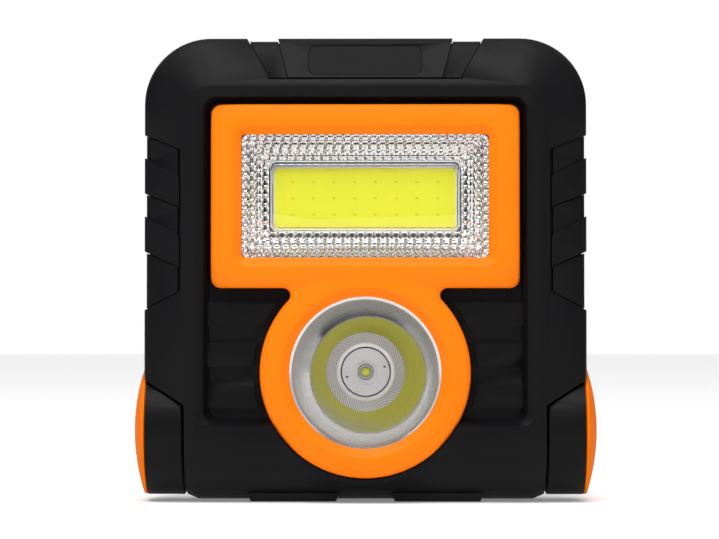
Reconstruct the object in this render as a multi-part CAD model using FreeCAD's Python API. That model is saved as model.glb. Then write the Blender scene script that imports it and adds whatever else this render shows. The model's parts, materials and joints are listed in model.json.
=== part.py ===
"""Two-lamp folding work light: a flood panel over a round spot lamp in a black housing,
with a U-shaped stand that turns on two barrels at the bottom corners.

Millimetres. X runs across the front, +Y points from the front to the back, +Z is up.
The origin is on the resting plane, under the middle of the light.
The stand is folded flat against the back, with its hook stowed.
"""

import FreeCAD, Part

import math
import os

V = FreeCAD.Vector

# ---------------------------------------------------------------- driving dimensions
BODY_HALF = 61.4        # half the housing's width
BODY_TOP = 128.9        # top of the housing above the resting plane
CORNER_R = 18.5         # housing's upper corners, seen from the front
WALL = 2.2              # housing wall

AXIS_Z = 19.6           # height of the stand's hinge axis, which runs along X at y = 0
HOUSING_R = 19.25       # rounded bottom of the housing, about that axis
BARREL_R = 18.0         # hinge barrels of the stand
BARREL_GAP = 0.5        # clearance round the barrels
CHEEK_X = 49.95         # half width of the housing between the barrels
BARREL_IN = 50.55       # inner face of a barrel
BARREL_OUT = 60.8       # outer face of a barrel
CUT_INNER_Z = 27.0      # slanted lower corner of the front, at the cheek
CUT_OUTER_Z = 34.05     # and at the side

FRONT_Y = -19.0         # ridge plane of the front
SHOULDER_Y = -13.0      # where the sloping band meets the side walls
BAND = 14.3             # width of that band
SPLIT_Y = 6.0           # joint between the two shells
FLANGE_Y = 9.0          # back of the rear shell's flange
BACK_Y = 19.0           # back of the rear shell
REST_Y = 19.6           # magnets and bezel crown: as far from the axis as the feet

FLOOR_Y = -13.5         # floor of the front recess
FLOOR_T = 2.0
RIDGE_HALF = BODY_HALF - BAND
RIDGE_TOP = BODY_TOP - BAND
RIDGE_LOW = 21.3

BEZEL_HALF = 42.6       # flood part of the bezel
BEZEL_LOW = 59.3
BEZEL_HIGH = 110.05
BEZEL_CORNER_R = 2.6
NOTCH_R = 2.1           # where the flood part meets the spot ring
RING_R = 29.1           # spot ring of the bezel
LAND_Y = -18.0          # inner step of the bezel, round both lenses
SPOT_Z = 35.95
SPOT_R = 21.0           # visible spot aperture

FLOOD_Z = 84.7
LENS_HALF_X = 34.2
LENS_HALF_Z = 17.1
LAND_W = 2.3

COB_Z = 84.15           # the light panel sits a little low behind the lens
COB_HALF_X = 25.0       # glowing area
COB_HALF_Z = 8.3
DAM_W = 1.0
CHIP_COLUMNS = 8
CHIP_ROWS = 3
CHIP_PITCH_X = 5.68
CHIP_PITCH_Z = 4.42

BACK_HALF = 49.8        # rear shell's box, between the stand's arms
BACK_TOP = 110.6
BACK_CORNER_R = 6.0

ARM_FRONT_Y = 9.6
ARM_BACK_Y = 18.0
BAR_LOW = 112.0         # crossbar of the stand
STAND_TOP = 128.3
STAND_CORNER_R = 18.0

PIVOT_R = 5.5           # bush that a barrel turns on
RUNNING = 0.05          # radial running clearance

HOOK_Z = 119.4          # hook's pin
HOOK_Y = 15.7
HOOK_HALF = 13.0        # half its width
HOOK_T = 4.2
HOOK_PIN_R = 1.5
MAGNET_R = 6.2
MAGNET_X = 33.0
MAGNET_Z = 120.15       # middle of the crossbar
CUP_T = 0.9             # steel round a magnet

CELL_R = 9.2
CELL_LEN = 65.0
CELL_Y = 1.0
CELL_ZS = (76.3, 95.6)

BUTTON_Z = 47.0
BUTTON_R = 6.5
BUTTON_TRAVEL = 1.0
PORT_X = 30.0
PORT_Z = 47.0
BOARD_Y = 9.0           # front face of the driver board
BOARD_T = 1.6


# ---------------------------------------------------------------- small helpers
def box(x0, x1, y0, y1, z0, z1):
    return Part.makeBox(x1 - x0, y1 - y0, z1 - z0, V(x0, y0, z0))


def rod_x(radius, x0, x1, y=0.0, z=AXIS_Z):
    return Part.makeCylinder(radius, x1 - x0, V(x0, y, z), V(1, 0, 0))


def rod_y(radius, y0, y1, x, z):
    return Part.makeCylinder(radius, y1 - y0, V(x, y0, z), V(0, 1, 0))


def mirrored(shape):
    return shape.mirror(V(0, 0, 0), V(1, 0, 0))


def both_sides(shape):
    return [shape, mirrored(shape)]


def fused(shapes):
    first, *rest = shapes
    return first.fuse(rest).removeSplitter() if rest else first


def cut(shape, tools):
    return shape.cut(fused(list(tools)))


def polygon(points, y):
    """Closed wire through (x, z) points in the plane y."""
    corners = [V(x, y, z) for x, z in points]
    return Part.makePolygon(corners + corners[:1])


def prism(points, y0, y1):
    return Part.Face(polygon(points, y0)).extrude(V(0, y1 - y0, 0))


def plate(wire, y0, y1):
    """Wire moved to the plane y0 and extruded to y1."""
    face = Part.Face(wire)
    face.translate(V(0, y0 - wire.Vertexes[0].Y, 0))
    return face.extrude(V(0, y1 - y0, 0))


def rounded(half_x, z0, z1, y, top_r, low_r=None, x=0.0):
    """Wire of a rectangle with rounded corners, in the plane y. low_r of 0 keeps its lower corners sharp."""
    low_r = top_r if low_r is None else low_r
    left, right = x - half_x, x + half_x
    edges = []
    corners = [
        (left, z0, low_r, 180.0),
        (right, z0, low_r, 270.0),
        (right, z1, top_r, 0.0),
        (left, z1, top_r, 90.0),
    ]
    last = None
    first = None
    for cx, cz, r, start in corners:
        sx = 1 if cx == left else -1
        sz = 1 if cz == z0 else -1
        centre = V(cx + sx * r, y, cz + sz * r)
        a = [math.radians(start + k) for k in (0.0, 45.0, 90.0)]
        p = [centre + V(r * math.cos(t), 0, r * math.sin(t)) for t in a]
        if last is not None:
            edges.append(Part.LineSegment(last, p[0]).toShape())
        if r > 0:
            edges.append(Part.Arc(*p).toShape())
        first = p[0] if first is None else first
        last = p[2]
    edges.append(Part.LineSegment(last, first).toShape())
    return Part.Wire(edges)


def stack(wires):
    """Solid through parallel wires, with straight flanks between one and the next."""
    return fused([Part.makeLoft([a, b], True, True) for a, b in zip(wires, wires[1:])])


def turned(profile, axis_x=False, y=0.0, z=AXIS_Z, x=0.0):
    """Solid of revolution of (along, radius) points, about X through (y, z) or about Y through (x, z)."""
    if axis_x:
        pts = [V(a, y, z + r) for a, r in profile]
        origin, direction = V(0, y, z), V(1, 0, 0)
    else:
        pts = [V(x + r, a, z) for a, r in profile]
        origin, direction = V(x, 0, z), V(0, 1, 0)
    face = Part.Face(Part.makePolygon(pts + pts[:1]))
    return face.revolve(origin, direction, 360)


def filleted(shape, radius, wanted):
    """shape with a fillet on each edge that wanted(edge) picks."""
    edges = [e for e in shape.Edges if wanted(e)]
    return shape.makeFillet(radius, edges) if edges else shape


def at_y(edge, y):
    b = edge.BoundBox
    return abs(b.YMin - y) < 1e-3 and abs(b.YMax - y) < 1e-3


def bolt(head_r, head_t, shank_r, length, slot_r, x, y, z, direction):
    """Pan-head screw: its head's underside at (x, y, z), its shank along direction, a hex socket in the head."""
    d = V(*direction)
    under = V(x, y, z)
    head = Part.makeCylinder(head_r, head_t, under - d * head_t, d)
    shank = Part.makeCylinder(shank_r, length, under, d)
    socket = Part.makeCylinder(slot_r, head_t * 0.6, under - d * head_t, d)
    return head.fuse(shank).cut(socket)


def export(name, shapes):
    shapes = shapes if isinstance(shapes, (list, tuple)) else [shapes]
    solids = [s for shape in shapes for s in shape.Solids]
    for s in solids:
        if not s.isValid() or s.Volume <= 0:
            print("INVALID", name, s.Volume)
    whole = solids[0] if len(solids) == 1 else Part.makeCompound(solids)
    whole.exportStep(os.path.join("parts", name + ".step"))
    print(f"{name:20s} solids {len(solids):3d}  volume {sum(s.Volume for s in solids):10.1f}")


# ---------------------------------------------------------------- shared outlines
def spindle(radius, half_x, end_drop):
    """Rounded bottom of the housing, about the hinge axis, with its ends tapered."""
    taper = 3.0
    ends = [(-half_x, 0), (-half_x, radius - end_drop), (taper - half_x, radius)]
    ends += [(half_x - taper, radius), (half_x, radius - end_drop), (half_x, 0)]
    return turned(ends, axis_x=True)


def face_outline(y0, y1):
    """Front view of the housing, with the slanted lower corners over the barrels."""
    tall = plate(rounded(BODY_HALF, -1, BODY_TOP, y0, CORNER_R, 0), y0, y1)
    corner = [
        (CHEEK_X, -2),
        (CHEEK_X, CUT_INNER_Z),
        (BODY_HALF, CUT_OUTER_Z),
        (BODY_HALF + 5, CUT_OUTER_Z),
        (BODY_HALF + 5, -2),
    ]
    return cut(tall, both_sides(prism(corner, y0 - 1, y1 + 1)))


def barrel_room():
    """Space that the stand's barrels need in the housing."""
    return both_sides(rod_x(BARREL_R + BARREL_GAP, CHEEK_X, BODY_HALF + 5))


def band_body(inset=0.0):
    """Housing with its sloping band, before any recess. inset shrinks it for the wall or a shallow pocket."""
    half, top = BODY_HALF - inset, BODY_TOP - inset
    ridge_half, ridge_top = RIDGE_HALF - inset * 0.4, RIDGE_TOP - inset * 0.4
    front, shoulder = FRONT_Y + inset, SHOULDER_Y + inset * 0.6
    radius = CORNER_R - inset
    ridge_r = CORNER_R - BAND
    edge, drop = 1.3, 1.5          # rounding where the band meets the side wall
    sections = [
        rounded(half, -1, top, SPLIT_Y, radius, 0),
        rounded(half, -1, top, shoulder + drop, radius, 0),
        rounded(half - 0.3, -1, top - 0.3, shoulder + 0.5, radius - 0.3, 0),
        rounded(half - edge, -1, top - edge, shoulder - 0.45, radius - edge, 0),
        rounded(ridge_half + 1.0, -1, ridge_top + 1.0, front + 0.3, ridge_r + 1.0, 0),
        rounded(ridge_half, -1, ridge_top, front, ridge_r, 0),
    ]
    return stack(sections)


def bezel_plan(grow, y0, y1):
    """Flood rectangle and spot ring in one outline, grown outwards by grow."""
    z0, z1 = BEZEL_LOW - grow, BEZEL_HIGH + grow
    flood = plate(rounded(BEZEL_HALF + grow, z0, z1, y0, BEZEL_CORNER_R + grow), y0, y1)
    ring = rod_y(RING_R + grow, y0, y1, 0, SPOT_Z)
    notch_r = NOTCH_R - grow
    # centre of the round that joins the rectangle's lower edge to the ring
    cz = z0 - notch_r
    reach = RING_R + grow + notch_r
    cx = math.sqrt(reach**2 - (cz - SPOT_Z) ** 2)
    touch_x = cx * (RING_R + grow) / reach
    touch_z = SPOT_Z + (cz - SPOT_Z) * (RING_R + grow) / reach
    web = prism([(0, z0 + 1), (cx, z0 + 1), (cx, z0), (cx, cz), (touch_x, touch_z), (0, touch_z)], y0, y1)
    web = web.cut(rod_y(notch_r, y0 - 1, y1 + 1, cx, cz))
    return fused([flood, ring, *both_sides(web)])


# ---------------------------------------------------------------- housing
def strip(start, end, width):
    """Straight band in front view, width millimetres wide to the left of the way from start to end."""
    (x0, z0), (x1, z1) = start, end
    length = math.hypot(x1 - x0, z1 - z0)
    dx, dz = (z0 - z1) / length * width, (x1 - x0) / length * width
    return prism([(x0, z0), (x1, z1), (x1 + dx, z1 + dz), (x0 + dx, z0 + dz)], -26, SPLIT_Y + 6)


POCKET_X = 51.0         # inner end of the side pockets
POCKET_OUT = BODY_HALF + 3


def slanted(inner_z, outer_z):
    """Ends of a slanted edge of a side pocket, from its height at the inner end and at the side wall."""
    slope = (outer_z - inner_z) / (BODY_HALF - POCKET_X)
    return (POCKET_X, inner_z), (POCKET_OUT, inner_z + slope * (POCKET_OUT - POCKET_X))


def side_pockets():
    """Shallow pockets in the side bands between two grip pads, and the grooves round them."""
    top, bottom = slanted(97.7, 102.0), slanted(58.4, 53.2)
    pads = [(slanted(81.4, 85.5), slanted(90.2, 95.6)), (slanted(64.8, 69.3), slanted(73.9, 79.4))]
    pocket = prism([bottom[0], bottom[1], top[1], top[0]], -25, SPLIT_Y + 5)
    blocks = [prism([low[0], low[1], high[1], high[0]], -26, SPLIT_Y + 6) for low, high in pads]
    grooves = [strip(top[0], bottom[0], 0.45), strip(bottom[0], bottom[1], 0.3), strip(top[1], top[0], 0.25)]
    corners = [top[0], pads[0][1][0], pads[0][0][0], pads[1][1][0], pads[1][0][0], bottom[0]]
    grooves += [strip(corners[i], corners[i + 1], 0.85) for i in (0, 2, 4)]
    grooves += [strip(low[1], low[0], -0.25) for low, _ in pads]
    return cut(pocket, blocks), fused(grooves)


def top_pocket():
    """Pockets in the top band beside the raised name panel, and the grooves round them."""
    low, high, under = 117.4, 133.0, 0.3

    def edge_x(x, lean, z):
        return x + lean * (z - low)

    def block(x, lean, z0, z1, y0):
        left = [(-edge_x(x, lean, z1), z1), (-edge_x(x, lean, z0), z0)]
        return prism([(edge_x(x, lean, z0), z0), (edge_x(x, lean, z1), z1), *left], y0, SPLIT_Y + 6)

    wall_x, wall_lean, panel_x, panel_lean = 26.6, 0.55, 21.2, 0.27
    pocket = block(wall_x, wall_lean, low, high, -25).cut(block(panel_x, panel_lean, low - 1, high + 1, -26))
    grooves = [box(-26.9, 26.9, -25, SPLIT_Y + 6, low - 0.45, low + 0.05)]
    for x, lean, width in ((wall_x, wall_lean, 0.25), (panel_x, panel_lean, -0.25)):
        side = strip((edge_x(x, lean, low - under), low - under), (edge_x(x, lean, high), high), width)
        grooves += both_sides(side)
    return pocket, fused(grooves)


def front_ribs():
    """Three flat bars on each side of the spot ring."""
    bars = [box(-43.6, 43.6, FLOOR_Y - 1.2, FLOOR_Y + 0.2, z, z + 6.8) for z in (26.2, 37.5, 48.8)]
    return cut(fused(bars), [bezel_plan(2.0, FLOOR_Y - 3, FLOOR_Y + 3)])


def recess():
    """Front recess with its two-step flanks."""
    ridge = rounded(RIDGE_HALF, RIDGE_LOW, RIDGE_TOP, FRONT_Y - 0.01, CORNER_R - BAND)
    step = rounded(44.7, 21.9, 112.2, -17.7, 3.6)
    floor = rounded(43.2, 23.3, 110.9, FLOOR_Y, 2.8)
    return stack([ridge, step, floor])


BOSSES = [(55.9, 47.0), (55.9, 98.0), (27.0, 119.6)]
BOARD_POSTS = [(38.0, 29.0), (38.0, 57.0)]
FLOOD_SCREWS = [(sx * 36.0, FLOOD_Z + sz * 15.5) for sx in (-1, 1) for sz in (-1, 1)]
SPOT_SCREWS = [(sx * 18.9, SPOT_Z + sz * 18.9) for sx in (-1, 1) for sz in (-1, 1)]
SPOT_SINK_Y = 5.3
FLOOD_LEADS = (24.6, 28.0)
LEAD_Z = 74.6


def front_shell():
    body = band_body().common(face_outline(-25, SPLIT_Y + 1))
    low = box(-70, 70, -30, 30, AXIS_Z, 140).fuse(spindle(HOUSING_R, CHEEK_X, 1.3))
    body = body.common(low.removeSplitter())
    side_pocket, side_groove = side_pockets()
    upper_pocket, upper_groove = top_pocket()
    for depth, tools in (
        (0.55, both_sides(side_pocket)),
        (0.8, [upper_pocket]),
        (1.35, [*both_sides(side_groove), upper_groove]),
    ):
        skin = body.cut(band_body(depth))
        body = body.cut(skin.common(fused(tools)))
    collar = rod_y(RING_R + 1.5, -18.2, -6.0, 0, SPOT_Z).common(box(-40, 40, -20, 0, 2, 30))
    body = body.fuse(collar)
    body = body.cut(recess())
    body = body.cut(rod_y(RING_R + 0.25, -30, FLOOR_Y, 0, SPOT_Z))
    body = body.fuse(front_ribs())
    # hollow: behind the recess floor, in the band, and in the rounded bottom
    inner_y = FLOOR_Y + FLOOR_T
    room = plate(rounded(BODY_HALF - WALL, 40.5, BODY_TOP - WALL, inner_y, 16.0, 1.0), inner_y, SPLIT_Y + 1)
    band_room = band_body(WALL).cut(box(-49.4, 49.4, -30, 30, -5, 117.3))
    band_room = band_room.common(box(-70, 70, -30, SPLIT_Y + 1, 40.5, 140))
    lower = spindle(HOUSING_R - WALL, CHEEK_X - WALL, 1.0).fuse(
        box(WALL - CHEEK_X, CHEEK_X - WALL, -30, 30, AXIS_Z, 41)
    )
    lower = lower.common(box(-60, 60, inner_y, SPLIT_Y + 1, 0, 50))
    # the spot ring's seat keeps its floor where the bottom curves away
    seat = rod_y(RING_R + 1.5, -20, inner_y, 0, SPOT_Z)
    body = cut(body, [room, band_room, lower])
    body = body.fuse(seat.common(box(-40, 40, FLOOR_Y, inner_y, 2, 60)).cut(rod_y(SPOT_R, -30, 0, 0, SPOT_Z)))
    # lamp openings in the floor
    body = cut(
        body,
        [
            plate(rounded(31.5, FLOOD_Z - 14.0, FLOOD_Z + 14.0, -20, 1.5), -20, 0),
            rod_y(SPOT_R + 0.9, -30, 0, 0, SPOT_Z),
        ],
    )
    # screw bosses for the rear shell, posts for the spot's heat sink and seats for the feet
    posts = [rod_y(2.7, inner_y - 0.5, SPOT_SINK_Y, x, z) for x, z in SPOT_SCREWS]
    holes = [rod_y(1.1, SPOT_SINK_Y - 1.6, SPOT_SINK_Y + 1, x, z) for x, z in SPOT_SCREWS]
    holes += [rod_y(1.1, -12.95, inner_y + 1, x, z) for x, z in FLOOD_SCREWS]
    for side in (-1, 1):
        seat = box(side * 20.1 - 14.6, side * 20.1 + 14.6, -10.0, SPLIT_Y, 1.5, 4.3)
        posts.append(seat.common(spindle(HOUSING_R - 0.5, CHEEK_X, 1.3)))
    for x, z in BOSSES:
        for side in (-1, 1):
            posts.append(rod_y(3.2, inner_y - 1.0, SPLIT_Y, side * x, z))
            holes.append(rod_y(1.0, -4.0, SPLIT_Y + 1, side * x, z))
    trim = band_body(0.9)
    body = body.fuse([p.common(trim) for p in posts])
    feet_room = [foot_block(0.0, side) for side in (-1, 1)]
    pivot_holes = both_sides(rod_x(PIVOT_R, 40, 60))
    return cut(body, [*holes, *feet_room, *pivot_holes, *barrel_room(), badge_block(0.0)])


def foot_block(shrink, side):
    """Rubber foot: a trapezoid in front view, flat on the resting plane."""
    x = side * 20.1
    half, lean, high = 13.2 - shrink, 1.2, 2.8
    return prism([(x - half + lean, 0), (x + half - lean, 0), (x + half, high), (x - half, high)], -8.5, 5.4)


def badge_block(shrink):
    """Blank name plate let into the sloping top panel."""
    slope = math.degrees(math.atan2(SHOULDER_Y - FRONT_Y, BAND))
    mid_z = (RIDGE_TOP + BODY_TOP) / 2 + 0.7
    mid_y = (FRONT_Y + SHOULDER_Y) / 2 + 0.15
    depth = 0.9
    outline = rounded(15.75 - shrink, -4.6 + shrink, 4.6 - shrink, 0, 2.0 - shrink)
    blank = plate(outline, 0.15 if shrink else -1.0, depth)
    blank.rotate(V(0, 0, 0), V(1, 0, 0), -slope)
    blank.translate(V(0, mid_y, mid_z))
    return blank


def rear_shell():
    flange = face_outline(SPLIT_Y, FLANGE_Y)
    low_full = box(-70, 70, -30, 30, AXIS_Z, 140).fuse(spindle(HOUSING_R, CHEEK_X, 1.3))
    flange = flange.common(low_full)
    tall = plate(rounded(BACK_HALF, -1, BACK_TOP, FLANGE_Y - 1, BACK_CORNER_R, 0), FLANGE_Y - 1, BACK_Y)
    tall = filleted(tall, 2.0, lambda e: at_y(e, BACK_Y) and e.BoundBox.ZMax > 5)
    lower = box(-70, 70, -30, 30, AXIS_Z, 140).fuse(spindle(HOUSING_R, BACK_HALF, 1.3))
    body = flange.fuse(tall.common(lower)).removeSplitter()
    # hollow
    room = plate(
        rounded(BACK_HALF - WALL, AXIS_Z, BACK_TOP - WALL, SPLIT_Y - 1, 4.0, 0), SPLIT_Y - 1, BACK_Y - WALL
    )
    low_room = spindle(HOUSING_R - WALL, BACK_HALF - WALL, 1.0).common(box(-60, 60, SPLIT_Y - 1, 30, 0, AXIS_Z))
    body = cut(body, [fused([room, low_room])])
    # bay that the folded hook lies in, with its own thin floor
    bay_wall = box(-16.5, 16.5, 11.2, BACK_Y - 1, 78.4, BACK_TOP - 1)
    body = body.fuse(bay_wall)
    bay = plate(rounded(14.6, 80.2, BACK_TOP + 5, 13.0, 2.0), 13.0, BACK_Y + 1)
    # grooves that carry the front's bars round to the back
    grooves = []
    for side in (-1, 1):
        for z in (69.0, 80.3, 91.6):
            grooves.append(box(side * 31 - 11, side * 31 + 11, BACK_Y - 0.8, BACK_Y + 1, z, z + 6.7))
    holes = [rod_y(BUTTON_R + 0.3, 14, 25, 0, BUTTON_Z), *port_openings(), light_window(0.0)]
    for x, z in BOSSES:
        for side in (-1, 1):
            holes.append(rod_y(1.45, 0, 20, side * x, z))
            holes.append(rod_y(2.7, FLANGE_Y - 1.8, 20, side * x, z))
    posts = []
    for x, z in BOARD_POSTS:
        for side in (-1, 1):
            post = rod_y(2.6, BOARD_Y + BOARD_T, BACK_Y - WALL + 0.5, side * x, z)
            posts.append(post)
            holes.append(rod_y(0.8, BOARD_Y, BACK_Y - WALL - 0.6, side * x, z))
    body = body.fuse(posts)
    return cut(body, [bay, *grooves, *holes, *barrel_room()])


def port_openings():
    """Pocket for the port cover, and the slot that the plug goes through."""
    pocket = plate(rounded(8.2, PORT_Z - 4.6, PORT_Z + 5.4, 17.6, 1.2, x=PORT_X), 17.6, 25)
    slot = plate(rounded(5.2, PORT_Z - 2.5, PORT_Z + 2.2, 10, 1.6, x=PORT_X), 10, 18)
    return [pocket, slot]


def light_window(shrink):
    """Window of the charge indicator."""
    return plate(rounded(8.0 - shrink, PORT_Z - 1.6 + shrink, PORT_Z + 1.6 - shrink, 16, 1.2 - shrink, x=-PORT_X), 15.8, 25)


# ---------------------------------------------------------------- bezel and lamps
def front_bezel():
    body = bezel_plan(0.0, REST_Y * -1, FLOOR_Y)
    body = filleted(body, 2.0, lambda e: at_y(e, -REST_Y))
    land_x, land_z = LENS_HALF_X + LAND_W, LENS_HALF_Z + LAND_W
    flood_step = plate(rounded(land_x, FLOOD_Z - land_z, FLOOD_Z + land_z, -25, 1.6), -25, LAND_Y)
    flood_hole = plate(rounded(LENS_HALF_X, FLOOD_Z - LENS_HALF_Z, FLOOD_Z + LENS_HALF_Z, -25, 1.4), -25, 0)
    body = cut(body, [flood_step, flood_hole, rod_y(SPOT_R + LAND_W, -25, LAND_Y, 0, SPOT_Z), rod_y(SPOT_R, -25, 0, 0, SPOT_Z)])
    # rebates behind the lands for the two lenses
    flange = plate(rounded(36.0, FLOOD_Z - 18.9, FLOOD_Z + 18.9, -16.4, 1.4), -16.4, 0)
    spot_flange = rod_y(SPOT_R + 1.7, -16.4, 0, 0, SPOT_Z)
    hollow = bezel_plan(-1.9, -17.0, FLOOR_Y + 1)
    keep = plate(rounded(37.6, FLOOD_Z - 20.5, FLOOD_Z + 20.5, -18, 2.0), -18, 0)
    keep = keep.fuse(rod_y(SPOT_R + 3.3, -18, 0, 0, SPOT_Z))
    return cut(body, [flange, spot_flange, hollow.cut(keep)])


def flood_lens():
    """Clear lens: a plate in the bezel's window with a flange behind the land."""
    pane = plate(rounded(LENS_HALF_X - 0.1, FLOOD_Z - LENS_HALF_Z + 0.1, FLOOD_Z + LENS_HALF_Z - 0.1, -18.0, 1.3), -18.0, -15.4)
    flange = plate(rounded(35.8, FLOOD_Z - 18.7, FLOOD_Z + 18.7, -16.4, 1.3), -16.4, -15.4)
    return fused([pane, flange])


def flood_reflector():
    """Bright sloping frame between the lens and the light panel."""
    outer = stack(
        [
            rounded(35.6, FLOOD_Z - 18.5, FLOOD_Z + 18.5, -15.4, 1.5),
            rounded(35.6, FLOOD_Z - 18.5, FLOOD_Z + 18.5, -14.6, 1.5),
            rounded(31.2, FLOOD_Z - 13.7, FLOOD_Z + 13.7, -13.6, 1.5),
            rounded(31.2, FLOOD_Z - 13.7, FLOOD_Z + 13.7, -12.7, 1.5),
        ]
    )
    inner = stack(
        [
            rounded(34.4, FLOOD_Z - 17.3, FLOOD_Z + 17.3, -15.5, 1.5),
            rounded(26.5, FLOOD_Z - 9.8, FLOOD_Z + 9.8, -12.6, 1.2),
        ]
    )
    return outer.cut(inner)


def chip_places():
    for i in range(CHIP_COLUMNS):
        for j in range(CHIP_ROWS):
            yield (i - (CHIP_COLUMNS - 1) / 2) * CHIP_PITCH_X, COB_Z + (j - (CHIP_ROWS - 1) / 2) * CHIP_PITCH_Z


def cob_board():
    return plate(rounded(30.0, FLOOD_Z - 12.6, FLOOD_Z + 12.6, -12.7, 1.0), -12.7, -11.5)


def cob_chips():
    return [box(x - 0.5, x + 0.5, -12.95, -12.7, z - 0.4, z + 0.4) for x, z in chip_places()]


def cob_phosphor():
    slab = plate(rounded(COB_HALF_X, COB_Z - COB_HALF_Z, COB_Z + COB_HALF_Z, -13.5, 1.2), -13.5, -12.7)
    return cut(slab, cob_chips())


def cob_dam():
    half_x, half_z = COB_HALF_X + DAM_W, COB_HALF_Z + DAM_W
    outer = plate(rounded(half_x, COB_Z - half_z, COB_Z + half_z, -13.6, 1.9), -13.6, -12.7)
    return outer.cut(plate(rounded(COB_HALF_X, COB_Z - COB_HALF_Z, COB_Z + COB_HALF_Z, -14, 1.2), -14, -12))


def flood_heat_sink():
    body = plate(rounded(39.0, FLOOD_Z - 18.0, FLOOD_Z + 18.0, -11.5, 2.0), -11.5, -9.7)
    wire_holes = [rod_y(1.0, -12, -9, x, LEAD_Z) for x in FLOOD_LEADS]
    return cut(body, wire_holes + [rod_y(1.3, -12, -9, x, z) for x, z in FLOOD_SCREWS])


def heat_sink_screws():
    """Eight alike: four in each heat sink."""
    places = [(x, -9.7, z) for x, z in FLOOD_SCREWS] + [(x, SPOT_SINK_Y + 1.8, z) for x, z in SPOT_SCREWS]
    return [bolt(2.2, 1.2, 1.1, 3.2, 0.8, x, y, z, (0, -1, 0)) for x, y, z in places]


def spot_lens():
    return turned([(-17.9, 0), (-17.9, SPOT_R - 0.1), (-16.4, SPOT_R - 0.1), (-16.4, SPOT_R + 1.5), (-15.4, SPOT_R + 1.5), (-15.4, 0)], z=SPOT_Z)


CUP_BACK_Y = 2.4
CUP_FRONT_Y = -15.4
CUP_HOLE_R = 7.3
CUP_MOUTH_R = SPOT_R - 0.9
CUP_STEPS = 14
CUP_FOUR_F = (CUP_MOUTH_R**2 - CUP_HOLE_R**2) / (CUP_BACK_Y - CUP_FRONT_Y)    # four focal lengths
CUP_VERTEX_Y = CUP_BACK_Y + CUP_HOLE_R**2 / CUP_FOUR_F
FOCUS_Y = CUP_VERTEX_Y - CUP_FOUR_F / 4
DIE_R = 1.15


def cup_radius(y):
    """Inner radius of the parabolic cup."""
    return math.sqrt(CUP_FOUR_F * (CUP_VERTEX_Y - y))


def spot_reflector():
    ys = [CUP_FRONT_Y + (CUP_BACK_Y - CUP_FRONT_Y) * i / CUP_STEPS for i in range(CUP_STEPS + 1)]
    inner = [(y, cup_radius(y)) for y in ys]
    outer = [(y, r + 1.1) for y, r in reversed(inner)]
    rim = [(CUP_FRONT_Y + 1.2, SPOT_R + 0.7), (CUP_FRONT_Y + 1.2, SPOT_R + 1.5), (CUP_FRONT_Y, SPOT_R + 1.5)]
    body = [p for p in outer if p[0] > CUP_FRONT_Y + 1.3]
    return turned(inner + body + rim, z=SPOT_Z)


def spot_gasket():
    disc = rod_y(8.4, 2.4, 3.2, 0, SPOT_Z)
    return cut(disc, [rod_y(2.9, 2, 4, 0, SPOT_Z)] + [rod_y(0.5, 2, 4, s * 5.3, SPOT_Z + s * 1.45) for s in (-1, 1)])


def spot_led_body():
    """Stepped emitter body that lifts the die into the cup's focus."""
    steps = [rod_y(2.1, FOCUS_Y + 0.2, 1.4, 0, SPOT_Z), rod_y(2.8, 1.4, 3.2, 0, SPOT_Z), rod_y(3.6, 3.2, 3.9, 0, SPOT_Z)]
    tabs = box(-6.4, 6.4, 3.5, 3.8, SPOT_Z - 0.6, SPOT_Z + 0.6)
    return fused([*steps, tabs]).cut(rod_y(DIE_R, FOCUS_Y, FOCUS_Y + 0.7, 0, SPOT_Z))


def spot_led_die():
    return rod_y(DIE_R, FOCUS_Y + 0.05, FOCUS_Y + 0.7, 0, SPOT_Z)


def spot_led_dome():
    base = FOCUS_Y + 0.2
    ball = Part.makeSphere(1.9, V(0, base, SPOT_Z))
    dome = ball.common(box(-5, 5, -5, base, SPOT_Z - 5, SPOT_Z + 5))
    return dome.cut(rod_y(DIE_R, FOCUS_Y + 0.05, FOCUS_Y + 0.7, 0, SPOT_Z))


def spot_board():
    board = rod_y(10.0, 3.9, 5.3, 0, SPOT_Z)
    notches = [
        rod_y(1.7, 3, 6, 10.0 * math.cos(math.radians(a)), SPOT_Z + 10.0 * math.sin(math.radians(a)))
        for a in range(30, 390, 60)
    ]
    return cut(board, notches)


def spot_heat_sink():
    sink = plate(rounded(21.8, SPOT_Z - 21.8, SPOT_Z + 21.8, SPOT_SINK_Y, 4.0), SPOT_SINK_Y, SPOT_SINK_Y + 1.8)
    return cut(sink, [rod_y(1.3, 5, 8, x, z) for x, z in SPOT_SCREWS])


# ---------------------------------------------------------------- power and control
def driver_board():
    board = plate(rounded(42.0, 24.5, 61.5, BOARD_Y, 2.0), BOARD_Y, BOARD_Y + BOARD_T)
    holes = [rod_y(1.2, 8, 12, s * x, z) for x, z in BOARD_POSTS for s in (-1, 1)]
    return cut(board, holes)


def board_screws():
    return [bolt(2.2, 1.1, 0.8, 5.0, 0.7, s * x, BOARD_Y, z, (0, 1, 0)) for x, z in BOARD_POSTS for s in (-1, 1)]


def driver_chips():
    y = BOARD_Y + BOARD_T
    return [
        box(-24.0, -19.0, y, y + 1.5, 30.0, 34.0),
        box(-14.0, -10.0, y, y + 1.3, 31.0, 35.0),
        box(15.0, 19.0, y, y + 1.4, 29.5, 34.5),
        box(22.0, 24.5, y, y + 1.0, 33.0, 34.3),
        box(22.0, 24.5, y, y + 1.0, 29.5, 30.8),
    ]


def inductor():
    y = BOARD_Y + BOARD_T
    core = fused([rod_y(4.2, y, y + 0.9, 5, 32), rod_y(2.6, y, y + 4.8, 5, 32), rod_y(4.2, y + 3.9, y + 4.8, 5, 32)])
    return core


def inductor_coil():
    y = BOARD_Y + BOARD_T
    return rod_y(3.9, y + 0.9, y + 3.9, 5, 32).cut(rod_y(2.6, y, y + 6, 5, 32))


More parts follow.
